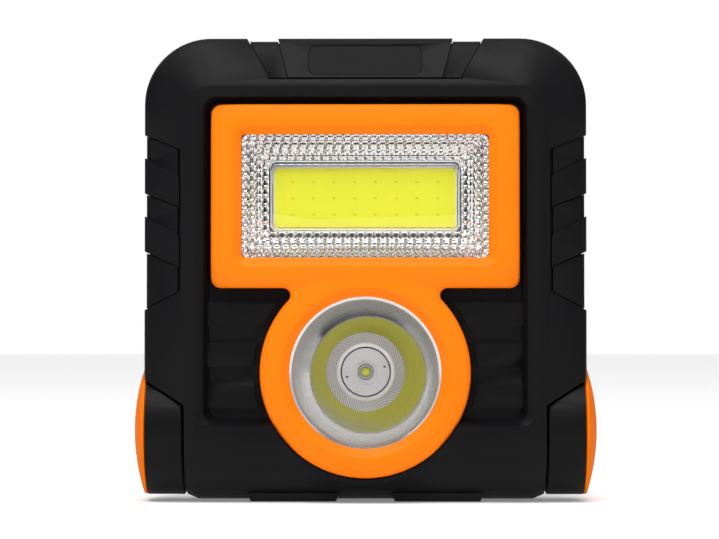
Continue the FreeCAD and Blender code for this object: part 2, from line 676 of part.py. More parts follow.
def usb_socket():
    y = BOARD_Y + BOARD_T
    shell = plate(rounded(4.6, PORT_Z - 1.75, PORT_Z + 1.45, y, 1.5, x=PORT_X), y, 17.4)
    room = plate(rounded(4.25, PORT_Z - 1.4, PORT_Z + 1.1, y, 1.2, x=PORT_X), y + 1.0, 18)
    tongue = box(PORT_X - 3.2, PORT_X + 3.2, y + 0.5, 16.6, PORT_Z - 0.5, PORT_Z + 0.2)
    return shell.cut(room).fuse(tongue)


def switch_body():
    y = BOARD_Y + BOARD_T
    case = box(-3.0, 3.0, y, y + 3.3, BUTTON_Z - 3.0, BUTTON_Z + 3.0)
    return case.cut(rod_y(1.85, y + 1.2, y + 5, 0, BUTTON_Z))


def switch_plunger():
    y = BOARD_Y + BOARD_T
    return rod_y(1.7, y + 1.2 + BUTTON_TRAVEL + 0.15, y + 4.4, 0, BUTTON_Z)


def power_button():
    """Round cap with a skirt inside the shell and a shallow thumb dish."""
    y_under = BOARD_Y + BOARD_T + 4.4
    cap = rod_y(BUTTON_R, y_under, 19.4, 0, BUTTON_Z)
    cap = filleted(cap, 0.6, lambda e: at_y(e, 19.4))
    skirt = rod_y(BUTTON_R + 1.2, y_under, 16.6, 0, BUTTON_Z)
    inside = turned([(y_under - 1, 2.0), (y_under - 1, 5.2), (17.4, 5.2), (17.4, 2.0)], z=BUTTON_Z)
    dish = Part.makeSphere(24.0, V(0, 19.4 + 23.4, BUTTON_Z))
    return cut(cap.fuse(skirt), [inside, dish])


def charge_lights():
    y = BOARD_Y + BOARD_T
    return [box(-PORT_X + dx - 0.8, -PORT_X + dx + 0.8, y, y + 0.8, PORT_Z - 0.5, PORT_Z + 0.5) for dx in (-6, -2, 2, 6)]


def light_pipe():
    """Clear bar that carries the four indicator lights to the back."""
    bar = light_window(0.05).common(box(-60, 60, 10, 18.8, 30, 60))
    flange = box(-PORT_X - 9.5, -PORT_X + 9.5, 14.6, 16.7, PORT_Z - 2.4, PORT_Z + 2.4)
    legs = [rod_y(0.9, 11.7, 14.6, -PORT_X + dx, PORT_Z) for dx in (-6, -2, 2, 6)]
    return fused([bar, flange, *legs])


def port_cover():
    """Rubber cover that swings up on the bead along its top edge."""
    hinge_z, hinge_y = PORT_Z + 4.3, 18.35
    bead = rod_x(0.7, PORT_X - 7.4, PORT_X + 7.4, hinge_y, hinge_z)
    lid = plate(rounded(7.6, PORT_Z - 4.0, hinge_z, 17.65, 0.9, 0.9, x=PORT_X), 17.7, 19.0)
    lid = lid.cut(box(0, 60, 10, 25, hinge_z - 0.5, hinge_z + 3))
    neck = box(PORT_X - 7.0, PORT_X + 7.0, 17.75, 18.95, hinge_z - 1.0, hinge_z)
    plug = plate(rounded(4.5, PORT_Z - 1.7, PORT_Z + 1.6, 17.5, 1.3, x=PORT_X), 17.5, 17.8)
    lip = box(PORT_X - 3.0, PORT_X + 3.0, 18.9, 19.5, PORT_Z - 3.8, PORT_Z - 2.8)
    return fused([bead, lid, neck, plug, lip])


# ---------------------------------------------------------------- battery
def cells():
    made = []
    for z in CELL_ZS:
        can = rod_x(CELL_R, -CELL_LEN / 2, CELL_LEN / 2, CELL_Y, z)
        nub = rod_x(3.2, CELL_LEN / 2, CELL_LEN / 2 + 1.4, CELL_Y, z)
        made.append(can.fuse(nub))
    return made


def battery_cradle():
    low, high = CELL_ZS[0] - CELL_R - 1.5, CELL_ZS[1] + CELL_R + 1.5
    block = box(-39.5, 39.5, 2.5, 11.0, low, high)
    ends = both_sides(box(37.5, 39.5, -7.0, 11.0, low, high))
    body = fused([block, *ends])
    rooms = [rod_x(CELL_R + 0.15, -34.0, 34.0, CELL_Y, z) for z in CELL_ZS]
    gaps = both_sides(box(33.9, 37.5, -9, 9.5, low + 1.5, high - 1.5))
    lead_holes = both_sides(rod_x(0.9, 37, 40, 1.0, 81.0))
    return cut(body, rooms + gaps + lead_holes)


def battery_plates():
    """Flat positive contacts on the right, spring plates on the left."""
    made = []
    for z in CELL_ZS:
        made.append(box(37.0, 37.5, -4.5, 6.5, z - 5.5, z + 5.5))
        made.append(box(-37.5, -37.0, -4.5, 6.5, z - 5.5, z + 5.5))
    return made


def battery_springs():
    """Arched leaf springs behind both ends of the cells."""
    made = []
    thick, y0, y1 = 0.4, -2.0, 4.0
    for z in CELL_ZS:
        for foot_x, crest_x, half in ((-36.95, -32.55, 4.6), (36.95, 33.95, 4.0)):
            side = math.copysign(thick, foot_x)
            feet = [V(foot_x, y0, z - half), V(foot_x, y0, z + half)]
            inner = [V(foot_x, y0, z - half + thick), V(foot_x, y0, z + half - thick)]
            edges = [
                Part.Arc(feet[0], V(crest_x, y0, z), feet[1]).toShape(),
                Part.LineSegment(feet[1], inner[1]).toShape(),
                Part.Arc(inner[1], V(crest_x + side, y0, z), inner[0]).toShape(),
                Part.LineSegment(inner[0], feet[0]).toShape(),
            ]
            made.append(Part.Face(Part.Wire(edges)).extrude(V(0, y1 - y0, 0)))
    return made


def lead(points, radius):
    """Insulated wire along straight runs with rounded corners."""
    bend = 1.2
    pts = [V(*p) for p in points]
    edges = []
    last = pts[0]
    for before, here, after in zip(pts, pts[1:], pts[2:]):
        a, b = (before - here).normalize(), (after - here).normalize()
        half = a.getAngle(b) / 2
        back = bend / math.tan(half)
        start, end = here + a * back, here + b * back
        centre = here + (a + b).normalize() * (bend / math.sin(half))
        middle = centre + (here - centre).normalize() * bend
        edges += [Part.LineSegment(last, start).toShape(), Part.Arc(start, middle, end).toShape()]
        last = end
    edges.append(Part.LineSegment(last, pts[-1]).toShape())
    path = Part.Wire(edges)
    ring = Part.Wire(Part.makeCircle(radius, pts[0], pts[1] - pts[0]))
    return path.makePipeShell([ring], True, True)


def flood_leads():
    """Pair from the driver board to the back of the light panel, through its heat sink."""
    y = -8.95
    return [
        lead([(x, BOARD_Y, 59.5), (x, y, 59.5), (x, y, LEAD_Z), (x, -11.5, LEAD_Z)], 0.6)
        for x in FLOOD_LEADS
    ]


def spot_leads():
    """Pair from the front of the spot's board round its heat sink to the driver board."""
    return [
        lead([(-8.9, 3.35, z), (-24.5, 3.35, z), (-24.5, BOARD_Y, z)], 0.5)
        for z in (SPOT_Z - 1.6, SPOT_Z + 1.6)
    ]


def battery_leads():
    """Pair from the end contacts down to the board."""
    route = [(37.5, 1.0, 81.0), (43.0, 1.0, 81.0), (43.0, 1.0, 50.0), (38.5, 1.0, 50.0), (38.5, BOARD_Y, 50.0)]
    return both_sides(lead(route, 0.8))


def shell_screws():
    return [
        bolt(2.4, 1.5, 1.0, 9.0, 0.9, s * x, FLANGE_Y - 1.8, z, (0, -1, 0))
        for x, z in BOSSES
        for s in (-1, 1)
    ]


def badge_plate():
    return badge_block(0.15)


# ---------------------------------------------------------------- hinge hardware, right side
def pivot_bush():
    """Flanged bush from inside the housing wall to the barrel's washer, with a flat beside the rear shell."""
    flange_x = CHEEK_X - WALL - 0.05
    profile = [(46.6, 2.1), (46.6, 7.5), (flange_x, 7.5), (flange_x, PIVOT_R), (57.9, PIVOT_R), (57.9, 2.1)]
    body = turned(profile, axis_x=True)
    return body.cut(box(46.0, CHEEK_X, SPLIT_Y - 0.2, 9.0, 0, 40))


def pivot_washer():
    return turned([(57.9, 2.1), (57.9, 8.3), (58.7, 8.3), (58.7, 2.1)], axis_x=True)


def disc_spring():
    return turned([(57.15, 7.0), (57.15, 8.2), (57.9, 6.8), (57.9, 5.7), (57.75, 5.7)], axis_x=True)


def pivot_screw():
    return bolt(3.6, 1.7, 2.0, 16.5, 1.4, 58.7, 0, AXIS_Z, (-1, 0, 0))


def pivot_nut():
    side = 3.5 / math.cos(math.radians(30))
    corners = [V(43.4, side * math.sin(math.radians(a)), AXIS_Z + side * math.cos(math.radians(a))) for a in range(0, 360, 60)]
    nut = Part.Face(Part.makePolygon(corners + corners[:1])).extrude(V(3.2, 0, 0))
    return nut.cut(rod_x(2.0, 40, 50))


# ---------------------------------------------------------------- stand
def stand_outline(half, z0, z1, corner):
    return plate(rounded(half, z0, z1, ARM_FRONT_Y, corner, 0), ARM_FRONT_Y, ARM_BACK_Y)


def stand_frame():
    frame = stand_outline(BARREL_OUT, AXIS_Z, STAND_TOP, STAND_CORNER_R)
    inside = plate(rounded(BARREL_IN, 0, BAR_LOW, 5, 7.5, 0), 5, 25)
    frame = frame.cut(inside)
    rail = plate(rounded(44.0, BAR_LOW + 0.9, STAND_TOP - 2.2, ARM_BACK_Y, 2.5), ARM_BACK_Y, ARM_BACK_Y + 0.9)
    frame = frame.fuse(rail)
    barrels = []
    for solid in both_sides(rod_x(BARREL_R, BARREL_IN, BARREL_OUT)):
        barrels.append(filleted(solid, 0.6, lambda e: e.Length > 100 and abs(e.BoundBox.XMin) < BARREL_IN + 0.1 and abs(e.BoundBox.XMax) < BARREL_IN + 0.1))
    body = fused([frame, *barrels])
    slack = 0.75
    slope = (CUT_OUTER_Z - CUT_INNER_Z) / (BODY_HALF - CHEEK_X)
    low, high = CUT_INNER_Z - slack - slope, CUT_OUTER_Z - slack + 5 * slope
    flats = prism([(CHEEK_X - 1, low), (BODY_HALF + 5, high), (BODY_HALF + 5, 50), (CHEEK_X - 1, 50)], -25, 2.0)
    bores = both_sides(rod_x(PIVOT_R + RUNNING, 40, 70))
    wells = both_sides(rod_x(9.0, 57.1, 70))
    pockets = [rod_y(MAGNET_R + CUP_T + 0.1, 15.6, 25, s * MAGNET_X, MAGNET_Z) for s in (-1, 1)]
    hook_bay = box(-14.4, 14.4, 11.6, 25, BAR_LOW - 5, 140)
    pin_hole = rod_x(HOOK_PIN_R, -18, 18, HOOK_Y, HOOK_Z)
    return cut(body, [*both_sides(flats), *bores, *wells, *pockets, hook_bay, pin_hole])


def hinge_cap():
    """Domed cap that snaps into the barrel's outer end."""
    rim, rise = 1.1, 3.0
    radius = ((BARREL_R - 0.5) ** 2 + rise**2) / (2 * rise)
    base = BARREL_OUT + rim
    dome = [(base + rise - radius + math.sqrt(radius**2 - r**2), r) for r in (17.5, 16.5, 14.0, 11.0, 8.0, 4.0, 0.0)]
    return turned([(BARREL_OUT, 0), (BARREL_OUT, BARREL_R - 0.1), (BARREL_OUT + 0.5, BARREL_R - 0.1)] + dome, axis_x=True)


def cap_ring():
    """Snap ring behind the cap's dome."""
    return turned([(59.3, 8.9), (BARREL_OUT, 8.9), (BARREL_OUT, 7.7), (59.3, 7.7)], axis_x=True)


def magnet(side):
    return rod_y(MAGNET_R, 16.2, REST_Y, side * MAGNET_X, MAGNET_Z)


def magnet_cup(side):
    outer = rod_y(MAGNET_R + CUP_T, 15.6, REST_Y - 0.2, side * MAGNET_X, MAGNET_Z)
    return outer.cut(rod_y(MAGNET_R, 16.2, 25, side * MAGNET_X, MAGNET_Z))


def hook_pin():
    return rod_x(HOOK_PIN_R, -17.9, 17.9, HOOK_Y, HOOK_Z)


def hook():
    """Flat J hook, stowed with its bend downwards."""
    y0, y1 = HOOK_Y - HOOK_T / 2, HOOK_Y + HOOK_T / 2
    bend_z = 97.0
    inner = 6.6
    shank = box(-HOOK_HALF, -inner, y0, y1, bend_z, HOOK_Z)
    bend = rod_y(HOOK_HALF, y0, y1, 0, bend_z).common(box(-20, 20, y0 - 1, y1 + 1, 60, bend_z))
    bend = bend.cut(rod_y(inner, y0 - 1, y1 + 1, 0, bend_z))
    tip = box(inner, HOOK_HALF, y0, y1, bend_z, bend_z + 4.0)
    tip = tip.fuse(rod_y((HOOK_HALF - inner) / 2, y0, y1, (HOOK_HALF + inner) / 2, bend_z + 4.0))
    knuckle = rod_x(3.1, -HOOK_HALF, HOOK_HALF, HOOK_Y, HOOK_Z)
    neck = box(-HOOK_HALF, HOOK_HALF, y0, y1, HOOK_Z - 4.0, HOOK_Z)
    body = fused([shank, bend, tip, knuckle, neck])
    return body.cut(rod_x(HOOK_PIN_R + RUNNING, -20, 20, HOOK_Y, HOOK_Z))


# ---------------------------------------------------------------- everything
def main():
    os.makedirs("parts", exist_ok=True)
    export("front_shell", front_shell())
    export("rear_shell", rear_shell())
    export("front_bezel", front_bezel())
    export("badge_plate", badge_plate())
    export("flood_lens", flood_lens())
    export("flood_reflector", flood_reflector())
    export("cob_board", cob_board())
    export("cob_chips", cob_chips())
    export("cob_phosphor", cob_phosphor())
    export("cob_dam", cob_dam())
    export("flood_heat_sink", flood_heat_sink())
    export("heat_sink_screws", heat_sink_screws())
    export("spot_lens", spot_lens())
    export("spot_reflector", spot_reflector())
    export("spot_gasket", spot_gasket())
    export("spot_led_body", spot_led_body())
    export("spot_led_die", spot_led_die())
    export("spot_led_dome", spot_led_dome())
    export("spot_board", spot_board())
    export("spot_heat_sink", spot_heat_sink())
    export("driver_board", driver_board())
    export("board_screws", board_screws())
    export("driver_chips", driver_chips())
    export("inductor_core", inductor())
    export("inductor_coil", inductor_coil())
    export("usb_socket", usb_socket())
    export("switch_body", switch_body())
    export("charge_lights", charge_lights())
    export("light_pipe", light_pipe())
    lower, upper = cells()
    export("cell_upper", upper)
    export("cell_lower", lower)
    export("battery_cradle", battery_cradle())
    export("battery_plates", battery_plates())
    export("battery_springs", battery_springs())
    export("flood_leads", flood_leads())
    export("spot_leads", spot_leads())
    export("battery_leads", battery_leads())
    export("shell_screws", shell_screws())
    for side, name in ((-1, "left"), (1, "right")):
        place = mirrored if side < 0 else (lambda shape: shape)
        export("pivot_bush_" + name, place(pivot_bush()))
        export("hinge_cap_" + name, place(hinge_cap().fuse(cap_ring())))
    export("pivot_washers", both_sides(pivot_washer()))
    export("disc_springs", both_sides(disc_spring()))
    export("pivot_screws", both_sides(pivot_screw()))
    export("pivot_nuts", both_sides(pivot_nut()))
    export("feet", [foot_block(0.1, -1), foot_block(0.1, 1)])
    export("magnets", [magnet(-1), magnet(1)])
    export("magnet_cups", [magnet_cup(-1), magnet_cup(1)])
    export("stand_frame", stand_frame())
    export("hook_pin", hook_pin())
    export("hook", hook())
    export("power_button", power_button())
    export("switch_plunger", switch_plunger())
    export("port_cover", port_cover())


main()
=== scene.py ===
"""Looks of a folding work light: a flood panel over a round spot lamp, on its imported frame."""

import json
import math
from itertools import product

import bmesh
import bpy
import numpy as np
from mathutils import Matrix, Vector
from mathutils.geometry import delaunay_2d_cdt

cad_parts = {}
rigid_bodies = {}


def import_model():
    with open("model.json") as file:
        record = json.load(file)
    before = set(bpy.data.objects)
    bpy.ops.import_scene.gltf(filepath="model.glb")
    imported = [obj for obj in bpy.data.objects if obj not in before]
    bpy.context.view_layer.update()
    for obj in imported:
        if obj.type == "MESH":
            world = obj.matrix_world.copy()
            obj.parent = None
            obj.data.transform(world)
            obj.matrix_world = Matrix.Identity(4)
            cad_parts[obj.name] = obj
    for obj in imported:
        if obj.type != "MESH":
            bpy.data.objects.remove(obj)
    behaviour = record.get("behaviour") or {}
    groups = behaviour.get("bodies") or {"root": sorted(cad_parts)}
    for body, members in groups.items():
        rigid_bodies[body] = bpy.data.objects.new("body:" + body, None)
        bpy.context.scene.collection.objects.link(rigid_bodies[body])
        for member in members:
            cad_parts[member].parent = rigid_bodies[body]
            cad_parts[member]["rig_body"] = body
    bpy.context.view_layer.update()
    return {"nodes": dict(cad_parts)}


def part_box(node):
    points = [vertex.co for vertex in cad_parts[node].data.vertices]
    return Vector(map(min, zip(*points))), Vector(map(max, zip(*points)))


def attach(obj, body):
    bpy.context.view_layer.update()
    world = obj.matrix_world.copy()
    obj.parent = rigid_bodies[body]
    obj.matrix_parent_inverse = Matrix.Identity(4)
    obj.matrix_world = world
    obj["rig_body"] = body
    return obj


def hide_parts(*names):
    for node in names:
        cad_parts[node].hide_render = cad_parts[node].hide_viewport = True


bl_info = {
    "name": "Work light",
    "version": (1, 0, 0),
    "blender": (4, 5, 0),
    "location": "3D View > Sidebar > Work light",
    "description": "Builds the visible pieces of a folding work light on its packed frame",
    "category": "Object",
}

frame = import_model()
NODES = frame["nodes"]
MM = 0.001
POLE = 1e-8            # radius that stands for a point on a lathe's axis, in metres
SHARP_CORNER = 1e-6    # least corner radius of a rounded rectangle, in metres
SAME_POINT = 2e-6      # distance within which points of a seam are one point, in metres


# ---------------------------------------------------------------- places taken from the frame
def centre_of(node):
    low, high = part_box(node)
    return (low + high) / 2


PANEL = centre_of("cob_phosphor")
LENS = centre_of("flood_lens")
SPOT = centre_of("spot_led_body")
SEAT_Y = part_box("front_bezel")[1].y       # floor that the bezel stands on
CREST_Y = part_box("front_bezel")[0].y      # highest line of the bezel, towards the front
LENS_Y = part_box("flood_lens")[0].y         # front of the lens
RIB_ROOT, RIB_TIP = 8.15 * MM, 11.05 * MM    # ribbed throat of the spot's cup, from its axis


# ---------------------------------------------------------------- settings
def real(label, default, about, **more):
    return bpy.props.FloatProperty(name=label, description=about, default=default, **more)


def whole(label, default, about, least):
    return bpy.props.IntProperty(name=label, description=about, default=default, min=least)


def size(label, default, about):
    """Length in metres, given in millimetres."""
    return real(label, default * MM, about, unit="LENGTH", precision=5)


def tint(label, default, about):
    return bpy.props.FloatVectorProperty(
        name=label, description=about, default=default, subtype="COLOR", size=3, min=0.0, max=1.0
    )


class CaseSettings(bpy.types.PropertyGroup):
    black: tint("Black", (0.0036, 0.0035, 0.0043), "Colour of the moulded case")
    edge: size("Edge radius", 0.35, "Rounding of the case's moulded edges")
    grain: size("Grain", 0.30, "Width of the spark-eroded grain")


class BezelSettings(bpy.types.PropertyGroup):
    orange: tint("Orange", (0.94, 0.186, 0.0025), "Colour of the bezel, caps and button")
    flank: size("Flank width", 2.35, "Width of the slope round each lamp")
    flank_drop: size("Flank depth", 1.75, "How far the slope falls towards the lens")
    crest: size("Crest softness", 0.08, "How softly the slope turns into the crown")
    crown_drop: size("Crown fall", 1.25, "How far the crown falls towards the outer edge")
    roll: size("Edge roll", 1.1, "Radius of the bezel's outer edge")
    notch: size("Notch radius", 2.1, "Round between the flood frame and the spot ring")


class FloodSettings(bpy.types.PropertyGroup):
    rows: whole("Rows", 4, "Rings of prisms round the window", 1)
    bead: size("Prism length", 2.42, "Length of a prism along its row")
    height: size("Prism height", 0.86, "Height of a prism")
    glow: tint("Phosphor", (0.77, 0.75, 0.027), "Colour of the unlit phosphor")


class SpotSettings(bpy.types.PropertyGroup):
    flutes: whole("Flutes", 84, "Fine ribs round the reflector's throat", 12)
    twist: real("Twist", 0.32, "Turn of the ribs from root to tip", subtype="ANGLE")
    flute_depth: size("Flute depth", 0.09, "Depth of the fine ribs")
    flare: real("Flare", 0.42, "How much flatter the cup is outside its focused zone")


class StageSettings(bpy.types.PropertyGroup):
    distance: size("Camera distance", 740.0, "From the stand's hinge axis to the camera")
    right: size("Camera to the right", 6.0, "Sideways place of the camera")
    height: size("Camera height", 46.0, "Height of the camera above the resting plane")
    focal: real("Focal length", 131.3, "Focal length on a 36 mm sensor", unit="CAMERA")
    glow: real("Floor glow", 0.22, "Light that the pale floor adds", min=0.0)


# ---------------------------------------------------------------- nodes in plain expressions
class Number:
    """Socket of a node that takes part in arithmetic: each operation adds a Math node."""

    def __init__(self, graph, socket):
        self.graph = graph
        self.socket = socket

    def math(self, operation, *others):
        """Result of a Math node that takes this value and then the others."""
        operands = dict(enumerate((self, *others)))
        return self.graph.node("ShaderNodeMath", {"operation": operation}, operands)

    def __add__(self, other):
        return self.math("ADD", other)

    def __sub__(self, other):
        return self.math("SUBTRACT", other)

    def __rsub__(self, other):
        return self.graph.node("ShaderNodeMath", {"operation": "SUBTRACT"}, {0: other, 1: self})

    def __mul__(self, other):
        return self.math("MULTIPLY", other)

    def __truediv__(self, other):
        return self.math("DIVIDE", other)

    def __gt__(self, other):
        return self.math("GREATER_THAN", other)

    def __lt__(self, other):
        return self.math("LESS_THAN", other)

    __radd__ = __add__
    __rmul__ = __mul__

    def within(self, low, high):
        """1 between low and high, 0 outside."""
        return (self > low) * (self < high)

    def ease(self, low, high):
        """0 below low, 1 above high, smooth between."""
        return self.graph.node(
            "ShaderNodeMapRange",
            {"interpolation_type": "SMOOTHSTEP"},
            {"Value": self, "From Min": low, "From Max": high},
        )


def opaque(value):
    """Colour with its alpha; anything else as it is."""
    return (*value, 1.0) if isinstance(value, tuple) and len(value) == 3 else value


class Graph:
    """Writes nodes into a tree: settings first, then the sockets' values and links."""

    def __init__(self, tree):
        self.tree = tree

    def node(self, kind, settings=None, inputs=None, out=0):
        made = self.tree.nodes.new(kind)
        for key, value in (settings or {}).items():
            setattr(made, key, value)
        for key, value in (inputs or {}).items():
            if isinstance(value, Number):
                self.tree.links.new(value.socket, made.inputs[key])
            else:
                made.inputs[key].default_value = value
        return Number(self, made.outputs[out]) if made.outputs else made

    def split(self, vector):
        """The three parts of a vector."""
        apart = self.node("ShaderNodeSeparateXYZ", None, {0: vector})
        return [Number(self, socket) for socket in apart.socket.node.outputs]


class Finish(Graph):
    """Procedural material of one finish, on object coordinates in metres."""

    def __init__(self, name):
        self.material = bpy.data.materials.new(name)
        self.material.use_nodes = True
        super().__init__(self.material.node_tree)
        self.tree.nodes.clear()
        self.place = self.node("ShaderNodeTexCoord", out="Object")

    def axes(self):
        return self.split(self.place)

    def stretched(self, scale):
        """Object coordinates scaled along each axis."""
        return self.node("ShaderNodeMapping", None, {"Scale": scale, "Vector": self.place})

    def noise(self, width, detail=2.0, rough=0.5, vector=None):
        """Soft noise whose blotches are about width metres wide."""
        values = {"Vector": vector or self.place, "Scale": 0.5 / width}
        values.update({"Detail": detail, "Roughness": rough})
        return self.node("ShaderNodeTexNoise", None, values)

    def cells(self, width, vector=None, feature="F1"):
        values = {"Vector": vector or self.place, "Scale": 1.0 / width}
        return self.node("ShaderNodeTexVoronoi", {"feature": feature}, values)

    def mix(self, factor, first, second):
        """Colour between first and second."""
        values = {0: factor, 6: opaque(first), 7: opaque(second)}
        return self.node("ShaderNodeMix", {"data_type": "RGBA"}, values, out=2)

    def bump(self, height, depth, strength=1.0):
        values = {"Height": height, "Distance": depth, "Strength": strength}
        return self.node("ShaderNodeBump", None, values)

    def principled(self, **values):
        """Principled shader; a keyword's underscores stand for the spaces in its socket's name."""
        named = {}
        for key, value in values.items():
            label = "Specular IOR Level" if key == "Specular" else key.replace("_", " ")
            named[label] = opaque(value)
        return self.node("ShaderNodeBsdfPrincipled", None, named)

    def done(self, shader):
        self.node("ShaderNodeOutputMaterial", None, {"Surface": shader})
        return self.material

    def skin(self, colour, roughness, normal, **more):
        """Finished material of one principled surface."""
        shader = self.principled(Base_Color=colour, Roughness=roughness, Normal=normal, **more)
        return self.done(shader)


def shade(colour, factor):
    """Colour made darker or lighter by a factor."""
    return tuple(min(1.0, c * factor) for c in colour)


# ---------------------------------------------------------------- finishes
EVEN = (1.0, 1.0, 1.0)    # no stretch of a pattern along any axis


def moulded(name, colour, grain, roughness=0.45, depth=0.018):
    """Moulded plastic with a spark-eroded grain and a faint unevenness in its colour and gloss."""
    f = Finish(name)
    fine = f.noise(grain, 3.0, 0.6)
    pits = f.cells(grain * 1.6)
    broad = f.noise(14 * MM, 2.0)
    scuff = f.noise(0.9 * MM, 4.0, 0.7)
    surface = f.mix(broad * 0.6 + fine * 0.4, shade(colour, 0.78), shade(colour, 1.22))
    height = fine * 0.7 + pits * 0.5
    rough = roughness - 0.06 + broad * 0.06 + scuff * 0.07
    normal = f.bump(height, depth * MM, 0.9)
    return f.skin(surface, rough, normal, Specular=0.10)


def moulded_orange(name, colour, roughness=0.38, gloss=0.08):
    """Satin orange plastic."""
    f = Finish(name)
    fine = f.noise(0.16 * MM, 3.0, 0.6)
    broad = f.noise(11 * MM, 2.0)
    deep = (colour[0] * 0.97, colour[1] * 0.90, colour[2] * 0.7)
    light = (min(1.0, colour[0] * 1.02), colour[1] * 1.10, colour[2] * 1.5)
    surface = f.mix(broad * 0.7 + fine * 0.3, deep, light)
    rough = roughness + fine * 0.08 + broad * 0.04
    normal = f.bump(fine + f.noise(2.4 * MM) * 0.4, 0.008 * MM, 0.8)
    return f.skin(surface, rough, normal, Specular=gloss)


def soft_rubber(name, colour):
    """Soft rubber: matt, with a fine dusty bloom."""
    f = Finish(name)
    fine = f.noise(0.10 * MM, 4.0, 0.7)
    bloom = f.noise(5 * MM, 3.0)
    surface = f.mix(bloom, colour, shade(colour, 1.7))
    normal = f.bump(fine, 0.012 * MM, 0.7)
    return f.skin(surface, 0.68 + bloom * 0.14, normal, Specular=0.3)


def cut_glass(name):
    """Clear polycarbonate that bends what is behind it and lets the lamps' rays through."""
    f = Finish(name)
    flow = f.noise(9 * MM, 1.0)
    normal = f.bump(flow, 0.003 * MM, 0.5)
    values = {"Roughness": 0.0, "IOR": 1.56, "Normal": normal, "Color": (0.985, 0.99, 0.99, 1.0)}
    clear = f.node("ShaderNodeBsdfGlass", None, values)
    through = f.node("ShaderNodeBsdfTransparent", None, {"Color": (0.95, 0.96, 0.96, 1.0)})
    ray = f.node("ShaderNodeLightPath", None, None, out="Is Shadow Ray")
    return f.done(f.node("ShaderNodeMixShader", None, {0: ray, 1: clear, 2: through}))


def thin_clear(name, haze=0.0):
    """Thin clear plastic: what is behind it shows straight through, under a gloss."""
    f = Finish(name)
    dust = f.noise(2.2 * MM, 4.0, 0.7)
    rim = f.node("ShaderNodeLayerWeight", None, {"Blend": 0.22}, out="Fresnel")
    gloss = f.principled(Base_Color=(0.85, 0.87, 0.88), Roughness=0.04 + dust * 0.04, Specular=0.5)
    through = f.node("ShaderNodeBsdfTransparent", None, {"Color": (0.98, 0.985, 0.985, 1.0)})
    return f.done(f.node("ShaderNodeMixShader", None, {0: rim * 0.5 + haze, 1: through, 2: gloss}))


def metallised(name, tone, roughness):
    """Vacuum-metallised plastic, bright and slightly uneven."""
    f = Finish(name)
    streak = f.noise(1.1 * MM, 4.0, 0.65)
    broad = f.noise(12 * MM, 2.0)
    surface = f.mix(broad, shade(tone, 0.9), tone)
    normal = f.bump(streak, 0.004 * MM, 0.6)
    return f.skin(surface, streak * 0.06 + roughness, normal, Metallic=1.0)


def spun_cup(name, tone, ribs):
    """Metallised cup: drawn streaks run round it; the ribbed throat is satin, with painted shade
    darkening its grooves.
    """
    f = Finish(name)
    x, _, z = f.axes()
    x, z = x - SPOT.x, z - SPOT.z
    radius = (x * x + z * z).math("SQRT")
    turn = z.math("ARCTAN2", x)
    round_it = {0: radius, 1: turn * 0.9 * MM, 2: turn.math("SINE") * 0.9 * MM}
    spun = f.node("ShaderNodeCombineXYZ", None, round_it)
    streak = f.noise(0.28 * MM, 4.0, 0.62, spun)
    smear = f.noise(1.5 * MM, 3.0, 0.6, spun)
    throat = 1 - radius.ease(RIB_TIP - 0.10 * MM, RIB_TIP + 0.20 * MM)
    outer = radius.ease(15.8 * MM, 17.2 * MM)
    along = (radius - RIB_ROOT) / (RIB_TIP - RIB_ROOT)
    phase = (turn - along * ribs.twist) * ribs.flutes
    # painted shade: the flutes' grooves are coloured nearly black
    groove_shade = phase.math("COSINE").ease(0.1, 0.8) * along.within(0.04, 1.0)
    surface = f.mix(smear, shade(tone, 0.84), shade(tone, 1.06))
    surface = f.mix(throat, surface, (0.80, 0.79, 0.76))
    surface = f.mix(groove_shade * 0.80, surface, (0.07, 0.068, 0.055))
    rough = (streak + smear) * 0.03 + outer * smear * 0.16 + throat * 0.34 + 0.02
    normal = f.bump((streak * 0.5 + smear) * (outer + 0.15), 0.012 * MM, 0.8)
    return f.skin(surface, rough, normal, Metallic=1 - throat * 0.6)


def phosphor(name, colour, pitch_x, pitch_z, columns, rows):
    """Yellow phosphor over the chips, each under a faint dimple."""
    f = Finish(name)
    x, _, z = f.axes()
    u = (x - PANEL.x) / pitch_x + (0.5 if columns % 2 == 0 else 0.0)
    v = (z - PANEL.z) / pitch_z + (0.5 if rows % 2 == 0 else 0.0)
    across = (u - u.math("ROUND")) * pitch_x
    along = (v - v.math("ROUND")) * pitch_z
    ragged = f.noise(0.35 * MM, 3.0, 0.7)
    far = (across * across * 0.35 + along * along).math("SQRT")
    dimple = 1 - (far + ragged * 0.12 * MM).ease(0.20 * MM, 0.46 * MM)
    edge_x = (x - PANEL.x).math("ABSOLUTE").ease(24.0 * MM, 25.2 * MM)
    edge_z = (z - PANEL.z).math("ABSOLUTE").ease(7.4 * MM, 8.5 * MM)
    pale = edge_x.math("MAXIMUM", edge_z)
    cloud = f.noise(3.5 * MM, 3.0)
    base = f.mix(cloud, shade(colour, 0.97), shade(colour, 1.03))
    base = f.mix(dimple * 0.55, base, (colour[0] * 0.5, colour[1] * 0.52, 0.03))
    base = f.mix(pale * 0.30, base, (0.88, 0.86, 0.30))
    normal = f.bump(cloud * 0.5 - dimple + f.noise(0.2 * MM) * 0.1, 0.05 * MM, 0.6)
    return f.skin(base, 0.42 + cloud * 0.08, normal, Specular=0.35)


def milky(name, colour):
    """White silicone or epoxy, slightly uneven."""
    f = Finish(name)
    cloud = f.noise(1.6 * MM, 3.0)
    surface = f.mix(cloud, shade(colour, 0.92), colour)
    normal = f.bump(cloud, 0.02 * MM, 0.5)
    return f.skin(surface, 0.36 + cloud * 0.1, normal, Specular=0.4)


